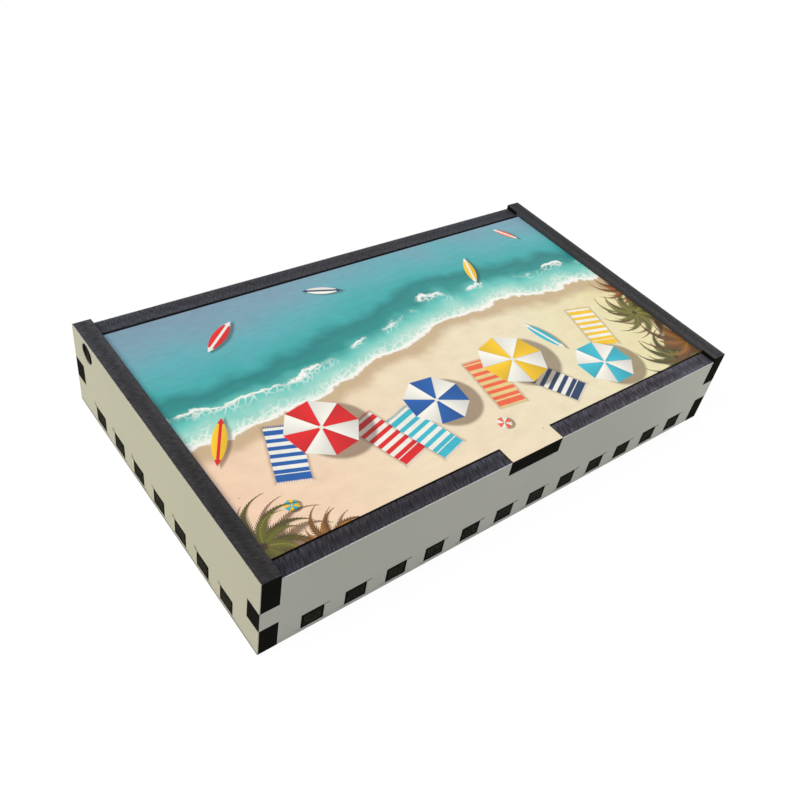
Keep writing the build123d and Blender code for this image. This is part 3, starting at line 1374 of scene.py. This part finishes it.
@dataclass
class Wall:
    """One wall: coated outside, slotted for the base tabs and jointed at its corners."""

    side: Side
    sizes: BoxSizes
    coat_thickness: float = 0.25 * MM
    char_and_shade_edge: float = 0.2 * MM
    first_seed: int = 7

    def place(self) -> Matrix:
        """Give the matrix that stands the sheet up, its inner face on the box's inside."""
        out = self.side.outward
        up = Vector((0, 0, 1))
        across = up.cross(out)
        inner = self.sizes.inner_width / 2 if self.side.long else self.sizes.inner_length / 2
        stood = Matrix((across, up, out)).transposed().to_4x4()
        return Matrix.Translation(out * inner) @ stood

    def slots(self, count: int, width: float) -> list[Patch]:
        """Give the openings for a row of base tabs."""
        gap = 2 * self.sizes.joint_gap
        height = self.sizes.board + gap
        middle = self.sizes.base_lift + self.sizes.board / 2
        places = self.sizes.tab_places(count, width)
        return [Patch.centred(spot, middle, width + gap, height) for spot in places]

    def board(self) -> Board:
        """Set the wall's outline, openings and hinge hole out."""
        sizes = self.sizes
        finger_middle = sizes.finger_low + sizes.finger_height / 2
        bores = []
        if self.side.long:
            keep = [
                Patch(-sizes.inner_length / 2, sizes.inner_length / 2, 0.0, sizes.long_wall_height),
                Patch.centred(0, finger_middle, sizes.box_length, sizes.finger_height),
            ]
            cuts = self.slots(sizes.long_tab_count, sizes.long_tab)
            if self.side is Side.FRONT:
                half = sizes.notch_half
                cuts.append(Patch(-half, half, sizes.notch_floor, sizes.end_wall_height))
        else:
            keep = [Patch(-sizes.box_width / 2, sizes.box_width / 2, 0.0, sizes.end_wall_height)]
            cuts = self.slots(sizes.short_tab_count, sizes.short_tab)
            tall = sizes.finger_height + 2 * sizes.joint_gap
            for end in (-1, 1):
                middle = end * (sizes.inner_width + sizes.board) / 2
                cuts.append(Patch.centred(middle, finger_middle, sizes.board, tall))
            across = sizes.hinge_y * self.side.outward.x
            bores.append(Bore(across, sizes.hinge_z, sizes.hinge_hole_radius))
        return Board(
            name=f"{self.side.name.lower()}_wall_board",
            keep=keep,
            cuts=cuts,
            place=self.place(),
            thickness=sizes.board,
            coat=self.coat_thickness,
            bores=bores,
            seed=self.first_seed + len(self.side.name),
        )

    def char_and_shade(self, mesh: Mesh) -> None:
        """Char the ends of a long wall's fingers; on an end wall, darken its joint faces and paint shade
        along the bottom edge of its coat.
        """
        sizes = self.sizes
        finger_end = sizes.box_length / 2 - self.char_and_shade_edge
        rim = mesh.verts.layers.float["rim"]
        for vert in mesh.verts:
            if self.side.long and vert[rim] > 0 and abs(vert.co.x) > finger_end:
                vert[rim] = -1.0
        for face in mesh.faces:
            centre = face.calc_center_median()
            coat_edge = face.material_index == Skin.COAT_EDGE.value
            if self.side.long:
                burnt = coat_edge and abs(centre.x) > finger_end
            else:
                in_joint = face.material_index == Skin.INNER.value and abs(centre.y) > sizes.inner_width / 2
                # The joint faces and the coat edge along the bottom take the dark upright cut; along the
                # bottom this is painted shade where the wall meets the floor
                burnt = in_joint or (coat_edge and centre.z < self.char_and_shade_edge)
            if burnt:
                face.material_index = Skin.CHAR.value

    def build(self, finishes: "Finishes") -> None:
        """Make the wall and dress it."""
        board = self.board()
        mesh = board.build()
        self.char_and_shade(mesh)
        piece = finished(board.name, mesh, finishes.walls[self.side])
        attach(piece, "tray", "wall_board", f"{self.side.name.lower()}_wall")


@dataclass
class Base:
    """The floor of the tray, with its tabs through all four walls."""

    sizes: BoxSizes
    dark_border_width: float = 0.7 * MM
    middle_recess: float = 0.02 * MM

    def board(self) -> Board:
        """Set the base's outline out."""
        sizes = self.sizes
        keep = [Patch.centred(0, 0, sizes.inner_length, sizes.inner_width)]
        for spot in sizes.tab_places(sizes.long_tab_count, sizes.long_tab):
            keep.append(Patch.centred(spot, 0, sizes.long_tab, sizes.box_width))
        for spot in sizes.tab_places(sizes.short_tab_count, sizes.short_tab):
            keep.append(Patch.centred(0, spot, sizes.box_length, sizes.short_tab))
        return Board(
            name="base_board",
            keep=keep,
            place=Matrix.Translation((0, 0, sizes.base_lift)),
            thickness=sizes.board,
            ripple=0.0,
        )

    def build(self, finishes: "Finishes") -> None:
        """Make the base, with a darker border round each tab end, and dress it."""
        mesh = self.board().build()
        ends = []
        for face in mesh.faces:
            centre = face.calc_center_median()
            at_end = abs(centre.x) > self.sizes.box_length / 2 - CLOSE
            at_side = abs(centre.y) > self.sizes.box_width / 2 - CLOSE
            if at_end or at_side:
                ends.append(face)
        bmesh.ops.inset_individual(
            mesh, faces=ends, thickness=self.dark_border_width, depth=-self.middle_recess, use_even_offset=True
        )
        # The base has no coat, so the middles of its tab ends take the finish listed in the coat's place
        for face in ends:
            face.material_index = Skin.COAT.value
        piece = finished("base_board", mesh, finishes.base)
        attach(piece, "tray", "base_board", "base_panel")


@dataclass
class Lid:
    """The lid: a dark board with ears and a tongue, and the printed film on its top."""

    sizes: BoxSizes
    film: float = 0.2 * MM
    film_margin: float = 0.04 * MM
    wrap: float = math.radians(52)
    wrap_steps: int = 6
    round_steps: int = 8

    def board(self) -> Board:
        """Set the lid board's outline out."""
        sizes = self.sizes
        half = sizes.tongue_width / 2
        return Board(
            name="lid_board",
            keep=[
                Patch(-sizes.lid_side, sizes.lid_side, sizes.lid_front, sizes.lid_back),
                Patch(-half, half, -sizes.box_width / 2, 0.0),
                Patch.centred(0, sizes.hinge_y, 2 * sizes.ear_end, sizes.ear_width),
            ],
            place=Matrix.Translation((0, 0, sizes.lid_underside)),
            thickness=sizes.board - self.film,
            ripple=0.0,
            ease_width=0.05 * MM,
            ease_depth=0.03 * MM,
        )

    def build_board(self, finishes: "Finishes") -> None:
        """Make the lid board, with its back top edge rounded so that it clears the back wall."""
        mesh = self.board().build()
        self.round_back(mesh, self.sizes.lid_top - self.film)
        for face in mesh.faces:
            if face.material_index in (Skin.RIM.value, Skin.CHAR.value):
                at_tongue_end = face.calc_center_median().y < -self.sizes.box_width / 2 + CLOSE
                face.material_index = Skin.CHAR.value if at_tongue_end else Skin.RIM.value
        piece = finished("lid_board", mesh, finishes.lid)
        attach(piece, "lid", "lid_board", "lid")

    def round_back(self, mesh: Mesh, top: float) -> None:
        """Round the board's back top edge by slicing it along flats that touch the arc.

        Args:
            mesh: The lid board in place.
            top: The height of its top face.
        """
        radius = self.sizes.back_edge_radius - self.film
        centre = Vector((0, self.sizes.lid_back - self.sizes.back_edge_radius, top - radius))
        for number in range(self.round_steps):
            angle = math.pi / 2 * (number + 0.5) / self.round_steps
            normal = Vector((0, math.sin(angle), math.cos(angle)))
            cut = sliced(mesh, centre + normal * radius, normal, clear=True)
            bmesh.ops.holes_fill(mesh, edges=cut)

    def build_film(self, finishes: "Finishes") -> None:
        """Make the printed film: a flat sheet with the tongue, wrapped over the back edge."""
        sizes, inset = self.sizes, self.film_margin
        half = sizes.tongue_width / 2 - inset
        side = sizes.lid_side - inset
        turn_line = sizes.lid_back - sizes.back_edge_radius
        outline = Board(
            name="lid_print",
            keep=[
                Patch(-side, side, sizes.lid_front + inset, turn_line),
                Patch(-half, half, -sizes.box_width / 2 + inset, 0.0),
            ],
            thickness=self.film,
        )
        mesh = outline.sheet()
        bmesh.ops.translate(mesh, vec=(0, 0, sizes.lid_top), verts=mesh.verts[:])
        back = [edge for edge in mesh.edges if all(vert.co.y > turn_line - CLOSE for vert in edge.verts)]
        centre = (0, turn_line, sizes.lid_top - sizes.back_edge_radius)
        bmesh.ops.spin(
            mesh, geom=back + list(corners(back)), cent=centre, axis=(1, 0, 0), dvec=(0, 0, 0),
            angle=-self.wrap, steps=self.wrap_steps, use_duplicate=False,
        )
        bmesh.ops.recalc_face_normals(mesh, faces=mesh.faces[:])
        lines = [line * MM for line in PRINT_BAYS[1:-1]]
        for line in lines:
            sliced(mesh, (line, 0, 0), (1, 0, 0))
        bmesh.ops.solidify(mesh, geom=mesh.faces[:], thickness=self.film)
        for face in mesh.faces:
            face.material_index = sum(face.calc_center_median().x > line for line in lines)
        piece = finished("lid_print", mesh, finishes.print)
        attach(piece, "lid", "lid_board")


HIGHEST_COUNT = 6


class TileSkin(Enum):
    """Which finish a face of a tile has."""

    COAT = 0
    ENGRAVED = 1
    COAT_EDGE = 2
    CORE = 3


@dataclass
class Tile:
    """One domino: an ivory coat on a dark core, engraved with its counts and a bar."""

    low_count: int
    high_count: int
    corner_radius: float = 1.2 * MM
    pip_radius: float = 1.9 * MM
    pip_pitch: float = 6.2 * MM
    bar_length: float = 18.0 * MM
    bar_width: float = 1.0 * MM
    engraving: float = 0.4 * MM
    toast: float = 0.42 * MM
    coat: float = 0.45 * MM
    ease: float = 0.12 * MM
    corner_steps: int = 4
    pip_sides: int = 20
    bar_corner_radius: float = 0.336 * MM
    bar_corner_steps: int = 2

    @property
    def node(self) -> str:
        """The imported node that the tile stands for."""
        return f"tile_{self.low_count}_{self.high_count}"

    def pip_spots(self, count: int) -> list[tuple[int, int]]:
        """Give the middles of a half's pips, in steps of the pitch."""
        spots = []
        if count % 2 == 1:
            spots.append((0, 0))
        if count >= 2:
            spots += [(-1, 1), (1, -1)]
        if count >= 4:
            spots += [(-1, -1), (1, 1)]
        if count == 6:
            spots += [(-1, 0), (1, 0)]
        return spots

    def loop(self, mesh: Mesh, width: float, height: float, round_by: float, steps: int) -> list:
        """Draw a closed rounded loop on the top face, with no face in it.

        Args:
            mesh: The tile's bmesh.
            width: The loop's size across.
            height: The loop's size along.
            round_by: The radius of its corners.
            steps: Segments to a corner.

        Returns:
            The loop's edges.
        """
        made = bmesh.ops.create_grid(mesh, x_segments=1, y_segments=1, size=0.5)["verts"]
        bmesh.ops.scale(mesh, vec=(width, height, 1.0), verts=made)
        known = set(mesh.verts) - set(made)
        bmesh.ops.bevel(
            mesh, geom=made, offset=round_by, segments=steps, profile=0.5, affect="VERTICES", material=-1
        )
        face = next(vert for vert in mesh.verts if vert not in known).link_faces[0]
        edges = list(face.edges)
        bmesh.ops.delete(mesh, geom=[face], context="FACES_ONLY")
        return edges

    def pressed(
        self, mesh: Mesh, edges: list, down: float, spread: Vector, middle: Vector = Vector()
    ) -> list:
        """Draw a loop on, down or inwards, and return the new loop.

        Args:
            mesh: The tile's bmesh.
            edges: The loop to start from.
            down: How far the new loop lies below it.
            spread: How the new loop is scaled.
            middle: The point that it is scaled about.

        Returns:
            The new loop's edges.
        """
        made = bmesh.ops.extrude_edge_only(mesh, edges=edges)["geom"]
        points = of_kind(made, Vert)
        bmesh.ops.scale(mesh, vec=spread, space=Matrix.Translation(-middle), verts=points)
        bmesh.ops.translate(mesh, vec=(0, 0, -down), verts=points)
        return [edge for edge in of_kind(made, Edge) if set(edge.verts) <= set(points)]

    def rings(self, mesh: Mesh, size: Vector) -> list[tuple[list, Vector, Vector]]:
        """Draw a loop round each pip and the bar, as far out as the laser toasts the coat.

        Args:
            mesh: The tile's bmesh.
            size: The tile's size.

        Returns:
            Each loop's edges, its middle, and how it shrinks to the engraving's own rim.
        """
        rings = []
        toasted = self.pip_radius + self.toast
        shrink = Vector((self.pip_radius / toasted, self.pip_radius / toasted, 1.0))
        for count, side in ((self.low_count, -1), (self.high_count, 1)):
            for across, along in self.pip_spots(count):
                middle = Vector((across * self.pip_pitch, side * size.y / 4 + along * self.pip_pitch, 0.0))
                where = Matrix.Translation(middle)
                made = bmesh.ops.create_circle(mesh, segments=self.pip_sides, radius=toasted, matrix=where)
                edges = {edge for vert in made["verts"] for edge in vert.link_edges}
                rings.append((list(edges), middle, shrink))
        width, height = self.bar_length + 2 * self.toast, self.bar_width + 2 * self.toast
        edges = self.loop(mesh, width, height, self.bar_corner_radius, self.bar_corner_steps)
        rings.append((edges, Vector(), Vector((self.bar_length / width, self.bar_width / height, 1.0))))
        return rings

    def number(self, mesh: Mesh, known: set, skin: TileSkin) -> set:
        """Give the faces made since the known ones a finish, and return every face."""
        for face in mesh.faces:
            if face not in known:
                face.material_index = skin.value
        return set(mesh.faces)

    def build(self, finishes: "Finishes") -> None:
        """Make the tile and dress it."""
        low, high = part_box(self.node)
        size = high - low
        mesh = bmesh.new()
        soot = mesh.verts.layers.float.new("soot")
        flat = Vector((1, 1, 1))
        easing = 2 * self.ease
        outline = self.loop(mesh, size.x - easing, size.y - easing, self.corner_radius, self.corner_steps)
        rings = self.rings(mesh, size)
        loops = outline + [edge for edges, _, _ in rings for edge in edges]
        bmesh.ops.triangle_fill(mesh, use_beauty=True, use_dissolve=False, edges=loops)
        for edges, middle, shrink in rings:
            brink = self.pressed(mesh, edges, 0.0, shrink, middle)
            for vert in corners(brink):
                vert[soot] = 1.0
            known = set(mesh.faces)
            bmesh.ops.edgeloop_fill(mesh, edges=self.pressed(mesh, brink, self.engraving, flat))
            self.number(mesh, known, TileSkin.ENGRAVED)
        known = set(mesh.faces)
        spread = Vector((size.x / (size.x - easing), size.y / (size.y - easing), 1.0))
        eased = self.pressed(mesh, outline, self.ease, spread)
        upper = self.pressed(mesh, eased, self.coat - self.ease, flat)
        known = self.number(mesh, known, TileSkin.COAT_EDGE)
        lower = self.pressed(mesh, upper, size.z - 2 * self.coat, flat)
        known = self.number(mesh, known, TileSkin.CORE)
        under = self.pressed(mesh, lower, self.coat - self.ease, flat)
        under = self.pressed(mesh, under, self.ease, Vector((1 / spread.x, 1 / spread.y, 1)))
        self.number(mesh, known, TileSkin.COAT_EDGE)
        bmesh.ops.edgeloop_fill(mesh, edges=under)
        centre = (low + high) / 2
        bmesh.ops.translate(mesh, vec=(centre.x, centre.y, high.z), verts=mesh.verts[:])
        piece = finished(f"domino_{self.low_count}_{self.high_count}", mesh, finishes.tile)
        attach(piece, "tray", "tile_board", self.node)


class Finishes:
    """Every finish of the box, made once and listed in the order of the faces' numbers."""

    def __init__(self, sizes: BoxSizes) -> None:
        """Make the materials.

        Args:
            sizes: The box's sizes, for the ticks at the slots' corners and the middles of the rims.
        """
        effects = Effects()
        slot = {"slot_low": sizes.base_lift, "slot_top": sizes.base_lift + sizes.board}
        long_coat = CoatFinish(
            "front_and_back_coat",
            tick_place=1.5 * sizes.long_tab,
            tick_step=2 * sizes.long_tab,
            tick_reach=sizes.long_tab * sizes.long_tab_count,
            **slot,
        ).make(effects)
        end_coat = CoatFinish(
            "end_wall_coat",
            # The same coat as the front and back, its tones painted yellower for the warm light that falls
            # on the ends
            tones=((174, 172, 150), (171, 170, 146), (176, 174, 148)),
            along=(0.0, 1.0, 0.0),
            tick_place=0.5 * sizes.short_tab,
            tick_step=2 * sizes.short_tab,
            tick_reach=sizes.short_tab * sizes.short_tab_count,
            tick_lean=0.8,
            tick_height=1.3 * MM,
            tick_width=1.2 * MM,
            tick_tone=(104, 96, 72),
            shaded_foot=0.8 * MM,
            painted_light_start=-70.0 * MM,
            painted_light_end=10.0 * MM,
            painted_light_gain=1.1,
            **slot,
        ).make(effects)
        # The long walls' coat edge is painted cooler and lighter than the ends', as a painted highlight
        # along their top edges
        long_edge = CoatEdgeFinish(
            "coat_edge_long", dark=(170, 176, 180), light=(206, 211, 215), speck=(130, 130, 124)
        ).make(effects)
        end_edge = CoatEdgeFinish(
            "coat_edge_end", dark=(156, 154, 140), light=(194, 192, 176), speck=(126, 122, 108),
            along=(0.0, 1.0, 0.0),
        ).make(effects)
        inner = BoardFinish("bare_inner_face", 0.75, 0.2).make(effects)
        # The upright cuts: the same laser soot as the rims, painted much darker as painted shade
        shaded_upright_char = CharFinish(
            "char_upright", shine=0.02, dark=(11, 11, 9), light=(21, 21, 16), speck=(52, 50, 42),
            along=(0.05, 0.05, 1.0), pitch=0.6 * MM,
        ).make(effects)
        level_char = CharFinish(
            "char_level", dark=(7, 7, 4), light=(49, 48, 37), speck=(104, 101, 84),
            pitch=0.4 * MM, contrast=2.4, speck_share=0.35, stroke=1.8 * MM,
        ).make(effects)
        # A darker border round each tab end of the base
        soot = CharFinish(
            "char_border", roughness=0.85, shine=0.02, dark=(6, 6, 5), light=(13, 13, 10),
            speck=(30, 28, 24), pitch=0.5 * MM, speck_share=0.03,
        ).make(effects)
        lid_edge = CharFinish(
            "lid_edge", dark=(18, 16, 12), light=(47, 44, 35), speck=(66, 62, 50), pitch=0.55 * MM
        ).make(effects)
        tile_coat = TileFinish("tile_coat", 0.42, 0.45).make(effects)
        engraving = CharFinish(
            "tile_engraving", shine=0.1, dark=(14, 13, 12), light=(34, 31, 27), speck=(70, 66, 58),
            along=(0.0, 1.0, 0.0), pitch=0.3 * MM, speck_share=0.05,
        ).make(effects)
        tile_edge = CoatEdgeFinish(
            "tile_coat_edge", shine=0.35, dark=(176, 160, 130), light=(216, 206, 182), speck=(150, 138, 116),
            along=(1.0, 1.0, 0.0), pitch=0.6 * MM, contrast=1.3,
        ).make(effects)
        self.walls = {}
        for side, rim in self.rims(sizes).items():
            coat, edge = (long_coat, long_edge) if side.long else (end_coat, end_edge)
            self.walls[side] = [coat, inner, edge, rim.make(effects), shaded_upright_char]
        self.base = [level_char, inner, soot, soot, soot]
        self.lid = [inner, inner, lid_edge, lid_edge, shaded_upright_char]
        self.print = [
            PrintFinish("beach_print", 0.42, 0.35, left, right).make(effects)
            for left, right in zip(PRINT_BAYS, PRINT_BAYS[1:])
        ]
        self.tile = [tile_coat, engraving, tile_edge, level_char]

    def rims(self, sizes: BoxSizes) -> dict[Side, RimFinish]:
        """Give each wall's rim its own tone and a painted sheen that changes slowly along it."""
        long_rim = {"along": (1.0, -0.32, 0.0), "middle": (sizes.inner_width + sizes.board) / 2}
        end_rim = {
            "along": (0.12, 1.0, 0.0), "across": (1.0, 0.0, 0.0),
            "middle": (sizes.inner_length + sizes.board) / 2,
            "dark": (24, 24, 27), "light": (57, 58, 62), "contrast": 1.2, "stroke": 1.6 * MM,
        }
        # Each rim's low and high sheen are painted light, up to two and a half times as light
        return {
            Side.FRONT: RimFinish(
                "rim_front", contrast=1.9, low_place=-45.0 * MM, high_place=95.0 * MM,
                high_sheen=(2.5, 2.5, 2.45), **long_rim,
            ),
            Side.BACK: RimFinish(
                "rim_back", dark=(17, 18, 22), light=(59, 61, 69), contrast=1.3, stroke=2.4 * MM,
                side_gain=1.15, low_sheen=(1.6, 1.6, 1.62), high_sheen=(1.45, 1.45, 1.5), **long_rim,
            ),
            Side.LEFT: RimFinish(
                "rim_left", side_gain=1.2, high_place=60.0 * MM, low_sheen=(1.12, 1.04, 0.98),
                high_sheen=(1.74, 1.76, 1.8), **end_rim,
            ),
            Side.RIGHT: RimFinish(
                "rim_right", side_gain=1.25, low_sheen=(1.68, 1.66, 1.6),
                high_sheen=(0.94, 0.97, 1.03), **end_rim,
            ),
        }


# The studio


def grey(level: float) -> tuple[float, float, float, float]:
    """Give a linear grey, or white at 1, with full cover."""
    return (level, level, level, 1.0)


@dataclass(frozen=True)
class Lamp:
    """A broad soft light, by the direction that it comes from."""

    name: str
    toward: Direction
    strength: float
    tint: Tone
    softness: float = math.radians(40)

    def hang(self) -> None:
        """Put the lamp in the scene."""
        light = bpy.data.lights.new(self.name, "SUN")
        light.energy = self.strength
        light.color = self.tint
        light.angle = self.softness
        lamp = placed(self.name, light)
        lamp.rotation_euler = Vector(self.toward).to_track_quat("Z", "Y").to_euler()


@dataclass
class Studio:
    """A pale floor, soft lights and the camera at the photograph's view, turned by degrees about X, Y, Z."""

    ambient: float = 0.43
    ambient_tint: Tone = (0.93, 0.97, 1.05)
    floor_half: float = 6.0
    floor_matt: float = 0.75
    floor_pale: float = 0.09
    floor_glow: float = 0.93
    lens: float = 39.209
    sensor: float = 36.0
    shift: tuple[float, float] = (-0.05285, -0.00263)
    eye: Direction = (-0.163459, -0.163078, 0.209339)
    turn: Direction = (48.1174, -9.7539, -38.8711)
    lamps: tuple[Lamp, ...] = (
        Lamp("left_softbox", (-0.72, 0.05, 0.7), 1.95, (1.0, 0.93, 0.79)),
        Lamp("top_softbox", (0.1, 0.1, 1.0), 0.5, (0.98, 0.99, 1.0)),
    )

    def floor_white(self) -> bpy.types.Material:
        """Make the floor's finish: matt to the light, glowing to the camera, and clear from below."""
        material = bpy.data.materials.new("floor_white")
        material.use_nodes = True
        nodes = material.node_tree.nodes
        nodes.remove(nodes["Principled BSDF"])
        graph = Graph(material.node_tree)
        matt = graph.step("BsdfDiffuse", 0, {"Color": grey(self.floor_matt)})
        pale = graph.step("BsdfDiffuse", 0, {"Color": grey(self.floor_pale)})
        glow = graph.step("Emission", 0, {"Strength": self.floor_glow})
        lit = graph.step("AddShader", 0, {0: pale, 1: glow})
        looked = graph.ray("Camera").at_least(graph.ray("Glossy"))
        above = graph.step("MixShader", 0, {0: looked, 1: matt, 2: lit})
        clear = graph.step("BsdfTransparent", 0, {})
        under = graph.step("NewGeometry", "Backfacing", {})
        shown = graph.step("MixShader", 0, {0: under, 1: above, 2: clear})
        graph.feed(nodes["Material Output"].inputs["Surface"], shown)
        return material

    def lay_floor(self) -> None:
        """Lay the floor, which isn't part of the object."""
        mesh = bmesh.new()
        bmesh.ops.create_grid(mesh, x_segments=4, y_segments=4, size=self.floor_half)
        data = bpy.data.meshes.new("studio_floor")
        mesh.to_mesh(data)
        mesh.free()
        data.materials.append(self.floor_white())
        placed("studio_floor", data)

    def fill_world(self) -> None:
        """Light the scene evenly, and show white behind it."""
        world = bpy.data.worlds.new("studio_world")
        bpy.context.scene.world = world
        world.use_nodes = True
        nodes = world.node_tree.nodes
        nodes.remove(nodes["Background"])
        graph = Graph(world.node_tree)
        lit = graph.step("Background", 0, {"Color": (*self.ambient_tint, 1.0), "Strength": self.ambient})
        white = graph.step("Background", 0, {"Color": grey(1.0)})
        looked = graph.ray("Camera").at_least(graph.ray("Glossy")).at_least(graph.ray("Transmission"))
        shown = graph.step("MixShader", 0, {0: looked, 1: lit, 2: white})
        graph.feed(nodes["World Output"].inputs["Surface"], shown)

    def stand_camera(self) -> None:
        """Stand the camera where the photograph was taken from."""
        data = bpy.data.cameras.new("photo_camera")
        data.lens = self.lens
        data.sensor_width = self.sensor
        data.shift_x, data.shift_y = self.shift
        data.clip_start = 10 * MM
        data.dof.use_dof = False
        camera = placed("photo_camera", data)
        turn = Euler([math.radians(angle) for angle in self.turn])
        camera.matrix_world = Matrix.LocRotScale(Vector(self.eye), turn, None)
        bpy.context.scene.camera = camera

    def build(self) -> None:
        """Set the whole studio up."""
        self.lay_floor()
        self.fill_world()
        for lamp in self.lamps:
            lamp.hang()
        self.stand_camera()
        bpy.context.scene.view_settings.view_transform = "Standard"


def main() -> None:
    """Build the studio, the tray, the lid and the tiles in order."""
    logging.basicConfig(level=logging.INFO, format="%(name)s: %(message)s")
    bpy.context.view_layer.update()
    sizes = BoxSizes()
    Studio().build()
    finishes = Finishes(sizes)
    Base(sizes).build(finishes)
    for side in Side:
        Wall(side, sizes).build(finishes)
    lid = Lid(sizes)
    lid.build_board(finishes)
    lid.build_film(finishes)
    for low_count in range(HIGHEST_COUNT + 1):
        for high_count in range(low_count, HIGHEST_COUNT + 1):
            Tile(low_count, high_count).build(finishes)


if __name__ == "__main__":
    main()
